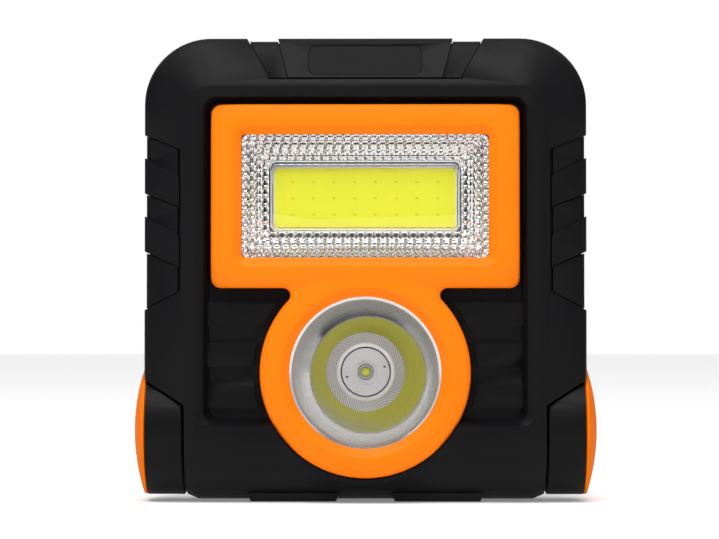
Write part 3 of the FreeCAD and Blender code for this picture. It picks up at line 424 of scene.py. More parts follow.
def plated(name, colour, along=EVEN, roughness=0.24):
    """Plated or rolled metal, with fine drawn lines."""
    f = Finish(name)
    lines = f.noise(0.10 * MM, 3.0, 0.6, f.stretched(along))
    stain = f.noise(4 * MM, 3.0)
    surface = f.mix(lines * 0.6 + stain * 0.4, shade(colour, 0.82), shade(colour, 1.08))
    normal = f.bump(lines, 0.006 * MM, 0.7)
    rough = roughness + lines * 0.10 + stain * 0.06
    return f.skin(surface, rough, normal, Metallic=1.0)


def circuit(name, colour):
    """Solder mask over copper tracks and plane."""
    f = Finish(name)
    tracks = f.cells(3.2 * MM, f.stretched((1.0, 0.05, 1.0)), "DISTANCE_TO_EDGE")
    line = 1 - tracks.ease(0.05, 0.12)
    speck = f.noise(0.3 * MM)
    surface = f.mix(line * 0.5 + speck * 0.2, colour, shade(colour, 1.8))
    normal = f.bump(line, 0.03 * MM, 0.8)
    return f.skin(surface, 0.34 + speck * 0.1, normal)


def insulation(name, axis, middle):
    """Wire insulation of a pair of leads: red beyond the middle of an axis, black before it."""
    f = Finish(name)
    positive = f.axes()[axis] > middle
    flow = f.noise(0.8 * MM, 3.0)
    red = f.mix(flow, (0.45, 0.015, 0.012), (0.55, 0.02, 0.015))
    surface = f.mix(positive, (0.012, 0.012, 0.013), red)
    return f.skin(surface, 0.40 + flow * 0.1, f.bump(flow, 0.01 * MM))


def sleeve(name, colour):
    """Shrink sleeve over a steel can."""
    f = Finish(name)
    wrinkle = f.noise(2.0 * MM, 3.0, 0.6, f.stretched((0.3, 1.0, 1.0)))
    surface = f.mix(wrinkle, shade(colour, 0.85), shade(colour, 1.15))
    return f.skin(surface, 0.30 + wrinkle * 0.08, f.bump(wrinkle, 0.02 * MM))


# ---------------------------------------------------------------- meshes
def new_piece(name, mesh, material, body, slot, *replaced):
    """Object in place at the origin, riding on its body and standing for CAD nodes."""
    piece = bpy.data.objects.new(name, mesh)
    bpy.context.scene.collection.objects.link(piece)
    mesh.materials.clear()
    mesh.materials.append(material)
    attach(piece, body)
    if replaced:
        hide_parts(*replaced)
    return piece


def mesh_from(name, points, faces, sharp):
    """Mesh with equal points merged, loose ones dropped and its faces turned outwards."""
    mesh = bpy.data.meshes.new(name)
    mesh.from_pydata([tuple(p) for p in points], [], faces)
    form = bmesh.new()
    form.from_mesh(mesh)
    bmesh.ops.remove_doubles(form, verts=form.verts, dist=1e-7)
    loose = [v for v in form.verts if not v.link_faces]
    bmesh.ops.delete(form, geom=loose, context="VERTS")
    bmesh.ops.recalc_face_normals(form, faces=form.faces)
    form.to_mesh(mesh)
    form.free()
    smooth(mesh, sharp)
    return mesh


def smooth(mesh, sharp):
    """Smooth shading with edges sharper than this many degrees kept."""
    mesh.shade_smooth()
    mesh.set_sharp_from_angle(angle=math.radians(sharp))


def strips(loops, first_cap, last_cap, offset=0):
    """Faces between rings of equal counts, with the first and last ring capped."""
    count = len(loops[0])
    faces = []
    for k in range(len(loops) - 1):
        a, b = offset + k * count, offset + (k + 1) * count
        faces += [(a + i, a + (i + 1) % count, b + (i + 1) % count, b + i) for i in range(count)]
    if first_cap:
        faces.append(tuple(offset + i for i in reversed(range(count))))
    if last_cap:
        faces.append(tuple(offset + (len(loops) - 1) * count + i for i in range(count)))
    return faces


def pour(points, faces, loops, first_cap, last_cap, flip=False):
    """Adds the points and faces of a row of loops to a mesh in the making."""
    made = strips(loops, first_cap, last_cap, len(points))
    faces += [tuple(reversed(face)) for face in made] if flip else made
    points += [p for loop in loops for p in loop]


def tube(name, loops, closed, sharp):
    """Mesh of a row of loops, either capped at both ends or closed into a ring."""
    if closed:
        loops = loops + loops[:1]
    points, faces = [], []
    pour(points, faces, loops, not closed, not closed)
    return mesh_from(name, points, faces, sharp)


def angles(count):
    """Equal steps round a full turn."""
    return [2 * math.pi * i / count for i in range(count)]


def quarter(parts, start=0):
    """Angles from start degrees over a quarter turn."""
    return [math.radians(start + 90 * k / parts) for k in range(parts + 1)]


def outward(base, *pairs):
    """Profile points (base + along, across) from pairs in millimetres."""
    return [(base + along * MM, across * MM) for along, across in pairs]


def sewn(points, faces):
    """Merges equal points and gives each open side the corners on it, so that seams close."""
    mesh = bpy.data.meshes.new("loose")
    mesh.from_pydata([tuple(p) for p in points], [], [tuple(face) for face in faces])
    form = bmesh.new()
    form.from_mesh(mesh)
    bpy.data.meshes.remove(mesh)
    bmesh.ops.remove_doubles(form, verts=form.verts, dist=SAME_POINT)
    form.verts.index_update()
    places = np.array([v.co[:] for v in form.verts])
    faces = [[v.index for v in face.verts] for face in form.faces]
    form.free()
    uses = {}
    for face in faces:
        for side in zip(face, face[1:] + face[:1]):
            uses[frozenset(side)] = uses.get(frozenset(side), 0) + 1
    corners = np.array(sorted({i for side, count in uses.items() if count == 1 for i in side}))
    whole = []
    for face in faces:
        ring = []
        for a, b in zip(face, face[1:] + face[:1]):
            ring.append(a)
            if uses[frozenset((a, b))] == 1:
                along = places[b] - places[a]
                far = places[corners] - places[a]
                share = far @ along / (along @ along)
                off = np.linalg.norm(far - share[:, None] * along, axis=1)
                on = (off < SAME_POINT) & (share > 1e-4) & (share < 1 - 1e-4)
                ring += [int(i) for _, i in sorted(zip(share[on], corners[on]))]
        whole.append(ring)
    return places, whole


def turned(name, profile, centre, segments, axis="Y", sharp=32.0):
    """Lathed mesh from (along, radius) points in metres; a radius of 0 closes it with a pole."""
    cross = "XY".index("Y" if axis == "X" else "X")
    loops = []
    for along, radius in profile:
        r = max(radius, POLE)
        loop = []
        for t in angles(segments):
            place = [along, along, centre[2] + r * math.sin(t)]
            place[cross] = centre[cross] + r * math.cos(t)
            loop.append(place)
        loops.append(loop)
    closed = profile[0] == profile[-1]
    return tube(name, loops[:-1] if closed else loops, closed, sharp)


def rounded_loop(half_x, half_z, radius, y, centre, steps=8):
    """Ring of points on a rounded rectangle, seen from the front."""
    radius = max(radius, SHARP_CORNER)
    loop = []
    for sx, sz, start in ((1, 1, 0), (-1, 1, 90), (-1, -1, 180), (1, -1, 270)):
        cx, cz = centre.x + sx * (half_x - radius), centre.z + sz * (half_z - radius)
        turns = quarter(steps, start)
        loop += [(cx + radius * math.cos(a), y, cz + radius * math.sin(a)) for a in turns]
    return loop


def framed(name, half_x, half_z, radius, profile, centre, sharp=32.0):
    """Closed frame from (along, inset) points carried round a rounded rectangle."""
    loops = [rounded_loop(half_x - q, half_z - q, radius - q, y, centre) for y, q in profile]
    return tube(name, loops, True, sharp)


def rounded_copy(node, name, material, slot, edge, fine=None, hidden=None, sharp=28.0, segments=3):
    """Copy of a CAD node with its corners joined, its flat faces cleaned up and its edges rounded.

    fine and hidden say which edges, by the place of their middle, take a thinner round or none.
    """
    mesh = NODES[node].data.copy()
    mesh.name = name
    form = bmesh.new()
    form.from_mesh(mesh)
    bmesh.ops.remove_doubles(form, verts=form.verts, dist=SAME_POINT)
    flat = math.radians(0.5)
    bmesh.ops.dissolve_limit(form, angle_limit=flat, verts=form.verts, edges=form.edges)
    bmesh.ops.triangulate(form, faces=[face for face in form.faces if len(face.verts) > 4])
    weight = form.edges.layers.float.new("bevel_weight_edge")
    for line in form.edges:
        middle = (line.verts[0].co + line.verts[1].co) / 2
        if line.calc_face_angle(0.0) > math.radians(sharp) and not (hidden and hidden(middle)):
            line[weight] = 0.3 if fine and fine(middle) else 1.0
    form.to_mesh(mesh)
    form.free()
    for layer in list(mesh.uv_layers):
        mesh.uv_layers.remove(layer)
    smooth(mesh, sharp)
    piece = new_piece(name, mesh, material, NODES[node]["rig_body"], slot, node)
    bevel = piece.modifiers.new("rounded edges", "BEVEL")
    bevel.width = edge
    bevel.segments = segments
    bevel.limit_method = "WEIGHT"
    bevel.use_clamp_overlap = True
    bevel.harden_normals = True
    bevel.miter_outer = "MITER_ARC"
    return piece


def front_grooves(p):
    """Edges of the fine grooves in the front shell's bands."""
    side = abs(p.x) > 50.2 * MM and 50 * MM < p.z < 105 * MM
    top = abs(p.x) < 37 * MM and p.z > 116.2 * MM
    return side or top


def within_case(p):
    """Edges inside the case's side, top and bottom walls."""
    return abs(p.x) < 58 * MM and 3 * MM < p.z < 125.5 * MM


def inside_front(p):
    return within_case(p) and p.y > -12.6 * MM


def inside_rear(p):
    return within_case(p) and p.y < 16.2 * MM


def dress(material, *nodes):
    """Gives CAD nodes a finish through their objects' material slots."""
    for node in nodes:
        piece = NODES[node]
        if not piece.material_slots:
            piece.data.materials.append(None)
        for slot in piece.material_slots:
            slot.material = material


# ---------------------------------------------------------------- bezel
def bezel_outline(inset, notch):
    """Front view of the bezel's edge, moved inwards: spot ring, notches and flood frame."""
    low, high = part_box("front_bezel")
    half, top = high.x - inset, high.z - inset
    lens_low, lens_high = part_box("flood_lens")
    bottom = lens_low.z - (high.z - lens_high.z)
    ring = SPOT.z - low.z
    corner = max(2.6 * MM - inset, 0.25 * MM)
    cz = bottom - notch
    reach = ring + notch
    cx = math.sqrt(reach**2 - (cz - SPOT.z) ** 2)
    touch = math.atan2(cz - SPOT.z, cx)
    r, n = ring - inset, notch + inset
    base = bottom + inset
    side = []
    for k in range(61):
        a = -math.pi / 2 + (touch + math.pi / 2) * k / 60
        side.append((r * math.cos(a), SPOT.z + r * math.sin(a)))
    for k in range(1, 17):
        a = touch + math.pi - (math.pi / 2 + touch) * k / 16
        side.append((cx + n * math.cos(a), cz + n * math.sin(a)))
    for middle, start in ((base + corner, -90), (top - corner, 0)):
        for a in quarter(12, start):
            side.append((half - corner + corner * math.cos(a), middle + corner * math.sin(a)))
    left = [(-x, z) for x, z in reversed(side[1:])]
    return side + left


def refined(loop, step):
    """Adds points so that no side of a closed ring is longer than step."""
    out = []
    for (x0, z0), (x1, z1) in zip(loop, loop[1:] + loop[:1]):
        parts = max(1, math.ceil(math.hypot(x1 - x0, z1 - z0) / step))
        out += [(x0 + (x1 - x0) * k / parts, z0 + (z1 - z0) * k / parts) for k in range(parts)]
    return out


def inside(points, loop):
    """Even-odd test of many points against one closed ring."""
    x, z = points[:, 0], points[:, 1]
    hit = np.zeros(len(points), bool)
    for (x0, z0), (x1, z1) in zip(loop, loop[1:] + loop[:1]):
        if z0 != z1:
            crosses = ((z0 > z) != (z1 > z)) & (x < (x1 - x0) * (z - z0) / (z1 - z0) + x0)
            hit ^= crosses
    return hit


def ring_distance(points, loop):
    """Shortest distance from each point to a closed ring."""
    best = np.full(len(points), 1e9)
    for a, b in zip(loop, loop[1:] + loop[:1]):
        a, b = np.array(a), np.array(b)
        along = b - a
        length = max(along @ along, 1e-18)
        t = np.clip(((points - a) @ along) / length, 0, 1)
        best = np.minimum(best, np.linalg.norm(points - a - t[:, None] * along, axis=1))
    return best


def box_distance(points, half_x, half_z, radius, centre):
    """Distance outside a rounded rectangle, below 0 inside it."""
    qx = np.abs(points[:, 0] - centre.x) - half_x + radius
    qz = np.abs(points[:, 1] - centre.z) - half_z + radius
    outer = np.hypot(np.maximum(qx, 0), np.maximum(qz, 0))
    return outer + np.minimum(np.maximum(qx, qz), 0) - radius


def crown(away, s):
    """Depth below the bezel's crest, by distance from an opening: slope, crest and convex fall."""
    slope = s.flank_drop * (1 - np.clip(away, 0, None) / s.flank)
    fall = s.crown_drop * (np.clip(away - s.flank - 0.3 * MM, 0, None) / (5.6 * MM)) ** 2
    return -np.logaddexp(slope / s.crest, fall / s.crest) * s.crest


class WORKLIGHT_OT_bezel(bpy.types.Operator):
    """Build the crowned orange bezel round both lamps"""

    bl_idname = "worklight.bezel"
    bl_label = "Bezel"

    def execute(self, context):
        s = context.scene.worklight_bezel
        lens_low, lens_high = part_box("flood_lens")
        half_x = (lens_high.x - lens_low.x) / 2 - 1.6 * MM
        half_z = (lens_high.z - lens_low.z) / 2 - 1.6 * MM
        spot_r = (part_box("spot_lens")[1].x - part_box("spot_lens")[0].x) / 2 - 1.5 * MM
        longest, step = 0.9 * MM, 0.8 * MM

        def frame_ring(inset):
            return refined(bezel_outline(inset * MM, s.notch), longest)

        def flood_ring(grow):
            grow *= MM
            ring = rounded_loop(half_x + grow, half_z + grow, 1.15 * MM + grow, 0.0, LENS, 6)
            return refined([(x, z) for x, _, z in ring], longest)

        def spot_ring(grow):
            r = spot_r + grow * MM
            return [(SPOT.x + r * math.cos(t), SPOT.z + r * math.sin(t)) for t in angles(180)]

        def to_flood(places):
            return box_distance(places, half_x, half_z, 1.4 * MM, LENS)

        def to_spot(places):
            return np.hypot(places[:, 0] - SPOT.x, places[:, 1] - SPOT.z) - spot_r

        outline, openings = frame_ring(0.0), [flood_ring(0.0), spot_ring(0.0)]
        points, edges = [], []
        for ring in [outline] + openings:
            start = len(points)
            points += [Vector(p) for p in ring]
            edges += [(start + i, start + (i + 1) % len(ring)) for i in range(len(ring))]
        for inset in (0.05, 0.16, 0.34, 0.6, 0.9, 1.2, 1.7, 2.3):
            points += [Vector(p) for p in frame_ring(inset)]
        for grow in (0.10, 0.30, 0.9, 1.5, 2.0, 2.35, 2.7, 3.1, 3.6, 4.2):
            points += [Vector(p) for p in flood_ring(grow) + spot_ring(grow)]
        low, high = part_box("front_bezel")
        across, upward = np.arange(low.x, high.x, step), np.arange(low.z, high.z, step)
        grid = np.array([(x, z) for x in across for z in upward])
        clear = inside(grid, outline) & (ring_distance(grid, outline) > 2.8 * MM)
        clear &= (to_flood(grid) > 4.6 * MM) & (to_spot(grid) > 4.6 * MM)
        points += [Vector(p) for p in grid[clear]]
        flat, _, triangles, *_ = delaunay_2d_cdt(points, edges, [], 0, 1e-7)
        flat = np.array([(p.x, p.y) for p in flat])
        middles = np.array([flat[list(t)].mean(0) for t in triangles])
        kept = inside(middles, outline)
        for opening in openings:
            kept &= ~inside(middles, opening)
        triangles = [t for t, keep in zip(triangles, kept) if keep]
        soft = 0.10 * MM
        crowns = [crown(away(flat), s) / soft for away in (to_flood, to_spot)]
        height = np.minimum(np.logaddexp(*crowns) * soft, 0.0)
        edge = np.clip(ring_distance(flat, outline), 0, s.roll)
        height -= s.roll - np.sqrt(np.maximum(s.roll**2 - (s.roll - edge) ** 2, 0.0))
        front = [(x, CREST_Y - h, z) for (x, z), h in zip(flat, height)]
        back = [(x, SEAT_Y, z) for x, z in flat]
        count = len(front)
        faces = [tuple(reversed(t)) for t in triangles]
        faces += [tuple(count + i for i in t) for t in triangles]
        sides = dict.fromkeys((a, b) for t in triangles for a, b in zip(t, (*t[1:], t[0])))
        faces += [(a, b, count + b, count + a) for a, b in sides if (b, a) not in sides]
        mesh = mesh_from("front_bezel_crowned", front + back, faces, 40.0)
        new_piece(mesh.name, mesh, finish("orange"), "housing", "orange_trim", "front_bezel")
        return {"FINISHED"}


# ---------------------------------------------------------------- flood lamp
def prism_tree(material, rows):
    """Geometry Nodes tree: rings of domed prisms round a window, without their corner cells."""
    tree = bpy.data.node_groups.new("Prism rings", "GeometryNodeTree")
    named = {
        "Outer Half Width": 34.1, "Outer Half Height": 17.0, "Row Width": 1.88, "Row Height": 1.79,
        "Prism Length": 2.4, "Prism Height": 0.6, "Base": 0.0, "Centre X": 0.0, "Centre Z": 0.0,
    }
    for label, value in named.items():
        socket = tree.interface.new_socket(label, in_out="INPUT", socket_type="NodeSocketFloat")
        socket.default_value = value * MM
    tree.interface.new_socket("Mesh", in_out="OUTPUT", socket_type="NodeSocketGeometry")
    g = Graph(tree)
    start = tree.nodes.new("NodeGroupInput")
    given = {label: Number(g, start.outputs[label]) for label in named}
    values = {"Size X": 1.0, "Size Y": 1.0, "Vertices X": 6, "Vertices Y": 6}
    grid = g.node("GeometryNodeMeshGrid", None, values)
    x, z, _ = g.split(g.node("GeometryNodeInputPosition"))
    across, along = 1 - 4 * x * x, 1 - 4 * z * z
    swell = (across * along).math("MAXIMUM", 0.0)
    rise = g.node("ShaderNodeCombineXYZ", None, {2: swell.math("POWER", 0.7)})
    bead = g.node("GeometryNodeSetPosition", None, {"Geometry": grid, "Offset": rise})
    forward = (-math.pi / 2, 0.0, 0.0)
    prism = g.node("GeometryNodeTransform", None, {"Geometry": bead, "Rotation": forward})
    joined = tree.nodes.new("GeometryNodeJoinGeometry")

    def corner(x, y, z):
        return g.node("ShaderNodeCombineXYZ", None, {0: x, 1: y, 2: z})

    for row in range(rows):
        half_x = given["Outer Half Width"] - given["Row Width"] * (row + 1)
        half_z = given["Outer Half Height"] - given["Row Height"] * (row + 1)
        for axis, half in ((0, half_x), (2, half_z)):
            count = (half * 2 / given["Prism Length"]).math("ROUND")
            cell = half * 2 / count
            first = cell * 0.5 - half
            for sign in (-1, 1):
                if axis == 0:
                    x, z = first, (half_z + given["Row Height"] * 0.5) * sign
                    step = corner(cell, 0.0, 0.0)
                    scale = corner(cell, given["Prism Height"], given["Row Height"])
                else:
                    x, z = (half_x + given["Row Width"] * 0.5) * sign, first
                    step = corner(0.0, 0.0, cell)
                    scale = corner(given["Row Width"], given["Prism Height"], cell)
                begin = corner(given["Centre X"] + x, given["Base"], given["Centre Z"] + z)
                values = {"Count": count, "Start Location": begin, "Offset": step}
                line = g.node("GeometryNodeMeshLine", {"mode": "OFFSET"}, values)
                values = {"Points": line, "Instance": prism, "Scale": scale}
                placed = g.node("GeometryNodeInstanceOnPoints", None, values)
                tree.links.new(placed.socket, joined.inputs[0])
    real = g.node("GeometryNodeRealizeInstances", None, {0: Number(g, joined.outputs[0])})
    merged = g.node("GeometryNodeMergeByDistance", None, {"Geometry": real, "Distance": 1e-6})
    done = g.node("GeometryNodeSetMaterial", None, {"Geometry": merged, "Material": material})
    end = tree.nodes.new("NodeGroupOutput")
    tree.links.new(done.socket, end.inputs[0])
    return tree


def from_tree(name, tree, values):
    """Plain mesh that a Geometry Nodes tree makes with these inputs."""
    host = bpy.data.objects.new(name, bpy.data.meshes.new(name))
    bpy.context.scene.collection.objects.link(host)
    modifier = host.modifiers.new(name, "NODES")
    modifier.node_group = tree
    keys = {s.name: s.identifier for s in tree.interface.items_tree if s.in_out == "INPUT"}
    for label, value in values.items():
        modifier[keys[label]] = value
    bpy.context.view_layer.update()
    evaluated = host.evaluated_get(bpy.context.evaluated_depsgraph_get())
    mesh = bpy.data.meshes.new_from_object(evaluated)
    host.modifiers.remove(modifier)
    bpy.data.objects.remove(host)
    mesh.name = name
    return mesh


class WORKLIGHT_OT_flood(bpy.types.Operator):
    """Build the flood lamp's prismatic lens and finish its panel"""

    bl_idname = "worklight.flood"
    bl_label = "Flood lamp"

    def execute(self, context):
        s = context.scene.worklight_flood
        glass = finish("cut_glass")
        half_x, half_z, corner = 34.05 * MM, 17.0 * MM, 1.75 * MM
        window_x, window_z = 26.55 * MM, 9.85 * MM
        row_x, row_z = (half_x - window_x) / s.rows, (half_z - window_z) / s.rows
        base = LENS_Y + 1.72 * MM
        values = {
            "Outer Half Width": half_x, "Outer Half Height": half_z, "Row Width": row_x,
            "Row Height": row_z, "Prism Length": s.bead, "Prism Height": s.height, "Base": base,
            "Centre X": LENS.x, "Centre Z": LENS.z,
        }
        rings = from_tree("prism_rings", prism_tree(glass, s.rows), values)
        points = [tuple(v.co) for v in rings.vertices]
        faces = [tuple(p.vertices) for p in rings.polygons]

        # corner prisms, one in each ring and quarter; the outermost follow the rounded corner
        dome = ((1.0, 0.0), (0.80, 0.52), (0.56, 0.86), (0.30, 0.99))
        for row, sx, sz in product(range(s.rows), (-1, 1), (-1, 1)):
            x1, z1 = half_x - row * row_x, half_z - row * row_z
            x0, z0 = x1 - row_x, z1 - row_z
            bend = [(x1, z1)]
            if row == 0:
                xr, zr = x1 - corner, z1 - corner
                bend = [(xr + corner * math.cos(a), zr + corner * math.sin(a)) for a in quarter(8)]
            rim = refined([(x0, z0), (x1, z0), *bend, (x0, z1)], 0.5 * MM)
            cx, cz = (x0 + x1) / 2, (z0 + z1) / 2
            loops = []
            for share, rise in dome:
                loop = []
                for x, z in rim:
                    far = math.hypot(x - cx, z - cz)
                    reach = share * (far if share == 1.0 else min(far, (row_x + row_z) / 4)) / far
                    x, z = cx + (x - cx) * reach, cz + (z - cz) * reach
                    loop.append((LENS.x + sx * x, base + s.height * rise, LENS.z + sz * z))
                loops.append(loop)
            pour(points, faces, loops, False, True, sx * sz < 0)

        lip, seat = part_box("flood_lens")[1], -16.4 * MM
        lip_x, lip_z = lip.x - LENS.x, lip.z - LENS.z
        outer = [
            (half_x - 0.25 * MM, half_z - 0.25 * MM, LENS_Y),
            (half_x - 0.07 * MM, half_z - 0.07 * MM, LENS_Y + 0.07 * MM),
            (half_x, half_z, LENS_Y + 0.25 * MM), (half_x, half_z, seat), (lip_x, lip_z, seat),
            (lip_x, lip_z, lip.y), (half_x + 0.5 * MM, half_z + 0.5 * MM, lip.y),
            (half_x, half_z, base),
        ]
        loops = [rounded_loop(x, z, corner, y, LENS) for x, z, y in outer]
        pour(points, faces, loops, True, False)
        loops = []
        for inset, radius, rise in (
            (0.0, 0.0, 0.0), (0.35, 1.7, 0.0), (0.45, 1.6, 0.55),
            (0.62, 1.45, 0.65), (1.0, 1.1, 0.65), (1.25, 0.9, 0.40),
        ):
            x, z = window_x - inset * MM, window_z - inset * MM
            loops.append(rounded_loop(x, z, radius * MM, base + rise * MM, LENS))
        pour(points, faces, loops, False, True)
        mesh = mesh_from("flood_lens_prismatic", *sewn(points, faces), 24.0)
        new_piece("flood_lens_prismatic", mesh, glass, "housing", "clear_lens", "flood_lens")
        dress(finish("metallised"), "flood_reflector")
        dress(finish("phosphor"), "cob_phosphor")
        dress(finish("silicone"), "cob_board")
        low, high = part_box("cob_dam")
        ridge = outward(
            low.y, (0.20, 0.0), (0.08, 0.06), (0.0, 0.20), (0.06, 0.30), (0.30, 0.36), (0.30, 0.46),
            (0.02, 0.52), (0.0, 0.66), (0.03, 0.92), (0.12, 0.99),
        )
        ridge = [(high.y, 0.0), *ridge, (high.y, 0.99 * MM)]
        half_x, half_z = (high.x - low.x) / 2, (high.z - low.z) / 2
        mesh = framed("panel_dam", half_x, half_z, 1.9 * MM, ridge, PANEL)
        new_piece("panel_dam", mesh, finish("silicone"), "housing", "led_white", "cob_dam")
        # painted shade: a thin black rubber ring round the dam stands in for the shadow in the gap
        # between the reflector frame and the dam
        top = low.y - 1.15 * MM
        seal = outward(top, (0.06, 0.0), (0.0, 0.06), (0.0, 0.36), (0.06, 0.42))
        seal = [(high.y, 0.0), *seal, (high.y, 0.42 * MM)]
        mesh = framed("panel_shadow_ring", 26.50 * MM, 9.78 * MM, 2.1 * MM, seal, PANEL)
        new_piece("panel_shadow_ring", mesh, finish("rubber"), "housing", "rubber")
        dress(finish("chip"), "cob_chips")
        return {"FINISHED"}


# ---------------------------------------------------------------- spot lamp
class WORKLIGHT_OT_spot(bpy.types.Operator):
    """Build the spot lamp's fluted reflector, emitter and clear cover"""

    bl_idname = "worklight.spot"
    bl_label = "Spot lamp"

    def execute(self, context):
        s = context.scene.worklight_spot
        low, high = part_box("spot_reflector")
        front, back = low.y, high.y
        rim_r = (high.x - low.x) / 2
        hole, mouth = 7.3 * MM, rim_r - 2.4 * MM
        four_f = (mouth**2 - hole**2) / (back - front)
        vertex = back + hole**2 / four_f
        focus = vertex - four_f / 4

        def wall(r, start):
            """Cup that looks into the focus up to start, then opens wider."""
            if r <= start:
                return vertex - r * r / four_f
            slope = 2 * start / four_f - s.flare
            return vertex - start * start / four_f - slope * (r - start) - (r - start) ** 2 / four_f

        root, tip, edge = RIB_ROOT, RIB_TIP, 20.05 * MM
        radii = [root + (tip - root) * k / 12 for k in range(13)]
        radii += [tip + (edge - tip) * k / 34 for k in range(1, 35)]

        def ring(r, height, ripple=0.0, lean=0.0):
            loop = []
            for t in angles(s.flutes * 6):
                start = 16.25 * MM + 1.0 * MM * math.cos(t + math.pi / 4)
                y = height(r, start) if callable(height) else height
                move = ripple * math.cos(s.flutes * (t - lean))
                loop.append((SPOT.x + r * math.cos(t), y + move, SPOT.z + r * math.sin(t)))
            return loop

        lip, behind = 0.16 * MM, front + 1.2 * MM
        rim = [(rim_r, behind), (rim_r, front + 0.05 * MM), (rim_r - 0.3 * MM, front)]
        rim += [(edge + 0.75 * MM, front), (edge + 0.50 * MM, front + lip)]
        rim += [(edge + 0.22 * MM, front + lip), (edge + 0.10 * MM, front + 3 * lip)]
        loops = [ring(r, y) for r, y in rim]
        for r in reversed(radii):
            share = (r - root) / (tip - root)
            fade = max(0.0, min(1.0, share * 5, (1 - share) * 5))
            loops.append(ring(r, wall, s.flute_depth * fade, s.twist * share))
        flange = wall(root, edge) + 0.12 * MM
        neck = [(root - 0.12 * MM, flange), (7.20 * MM, flange + 0.05 * MM)]
        neck += [(7.08 * MM, flange + 0.2 * MM), (7.05 * MM, back), (7.6 * MM, back)]
        for r in radii[::3] + [edge - 0.4 * MM]:
            neck.append((r + 0.95 * MM, min(back - 0.05 * MM, wall(r, edge) + 0.9 * MM)))
        loops += [ring(r, y) for r, y in neck + [(edge + 0.9 * MM, behind)]]
        mesh = tube("spot_reflector_fluted", loops, True, 40.0)
        new_piece(mesh.name, mesh, finish("reflector"), "housing", "metallised", "spot_reflector")

        def lathed(name, profile, segments, kind, slot, *replaced):
            mesh = turned(name, profile, SPOT, segments)
            new_piece(name, mesh, finish(kind), "housing", slot, *replaced)

        def domed(base, radius, rise, parts):
            """Profile of a bulge that ends on the axis."""
            return [(base - rise * math.sin(a), radius * math.cos(a)) for a in quarter(parts)]

        seat, die = flange + 0.10 * MM, focus + 0.05 * MM
        plate = outward(
            seat, (0.5, 0.0), (0.5, 6.74), (0.08, 6.74), (0.0, 6.66), (0.0, 3.75), (0.10, 3.6),
            (0.10, 3.3), (-0.05, 3.15), (-0.10, 2.9), (-0.10, 0.0),
        )
        lathed("spot_plate", plate, 160, "spot_plate", "led_white", "spot_gasket")
        seal = outward(back, (-0.1, 6.5), (-0.1, 7.5), (0.5, 7.5), (0.5, 6.5), (-0.1, 6.5))
        lathed("spot_seal", seal, 128, "rubber", "rubber")

        pin = outward(seat, (-0.02, 0.0), (-0.02, 0.34), (0.3, 0.34), (0.3, 0.0))
        joined = bmesh.new()
        for side in (-1, 1):
            hole = turned("hole", pin, SPOT + Vector((side * 5.3 * MM, 0, side * 1.45 * MM)), 24)
            joined.from_mesh(hole)
            bpy.data.meshes.remove(hole)
        mesh = bpy.data.meshes.new("spot_plate_pins")
        joined.to_mesh(mesh)
        joined.free()
        new_piece("spot_plate_pins", mesh, finish("black_screw"), "housing", "black_screw")

        foot = outward(
            seat, (0.0, 0.0), (0.0, 2.80), (-0.40, 2.72), (-0.48, 2.55), (-0.48, 2.30),
            (-0.10, 2.18), (-0.10, 2.06),
        )
        bowl = outward(die, (0.3, 1.95), (0.12, 1.85), (0.12, 1.42), (0.5, 1.30), (0.5, 0.0))
        lathed("spot_emitter", foot + bowl, 128, "emitter", "led_white", "spot_led_body")
        bulb = outward(die, (0.4, 0.0), (0.4, 1.15)) + domed(die, 1.15 * MM, 0.55 * MM, 12)
        lathed("spot_phosphor", bulb, 64, "spot_phosphor", "phosphor", "spot_led_die")
        base = die + 0.12 * MM
        dome = [(base, 0.0), *domed(base, 1.75 * MM, 1.75 * MM, 16)]
        lathed("spot_dome", dome, 96, "thin_clear", "clear_lens", "spot_led_dome")

        low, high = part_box("spot_lens")
        lip = (high.x - low.x) / 2
        r = lip - 1.6 * MM
        cover = [(low.y + 0.35 * MM, 0.0)]
        edge = ((0.35, 1.4), (0.2, 1.0), (0.0, 0.7), (0.0, 0.2), (0.2, 0.0), (1.5, 0.0))
        cover += [(low.y + along * MM, r - inset * MM) for along, inset in edge]
        cover += [(low.y + 1.5 * MM, lip), (high.y - 0.02 * MM, lip)]
        cover += [(high.y - 0.02 * MM, r - 0.4 * MM), (low.y + 1.6 * MM, r - 1.2 * MM)]
        cover += [(low.y + 1.6 * MM, 0.0)]
        lathed("spot_cover", cover, 192, "thin_clear", "clear_lens", "spot_lens")
        return {"FINISHED"}


# ---------------------------------------------------------------- case
class WORKLIGHT_OT_case(bpy.types.Operator):
    """Round the edges of both shells, the name plate and the feet"""

    bl_idname = "worklight.case"
    bl_label = "Case"

    def execute(self, context):
        s = context.scene.worklight_case
        shell = (finish("case"), "black_shell", s.edge)
        rounded_copy("front_shell", "front_shell_moulded", *shell, front_grooves, inside_front)
        rounded_copy("rear_shell", "rear_shell_moulded", *shell, None, inside_rear)
        rounded_copy("badge_plate", "badge_plate_blank", finish("trim"), "black_trim", 0.2 * MM)
        rounded_copy("feet", "rubber_feet", finish("rubber"), "rubber", 0.3 * MM)
        return {"FINISHED"}


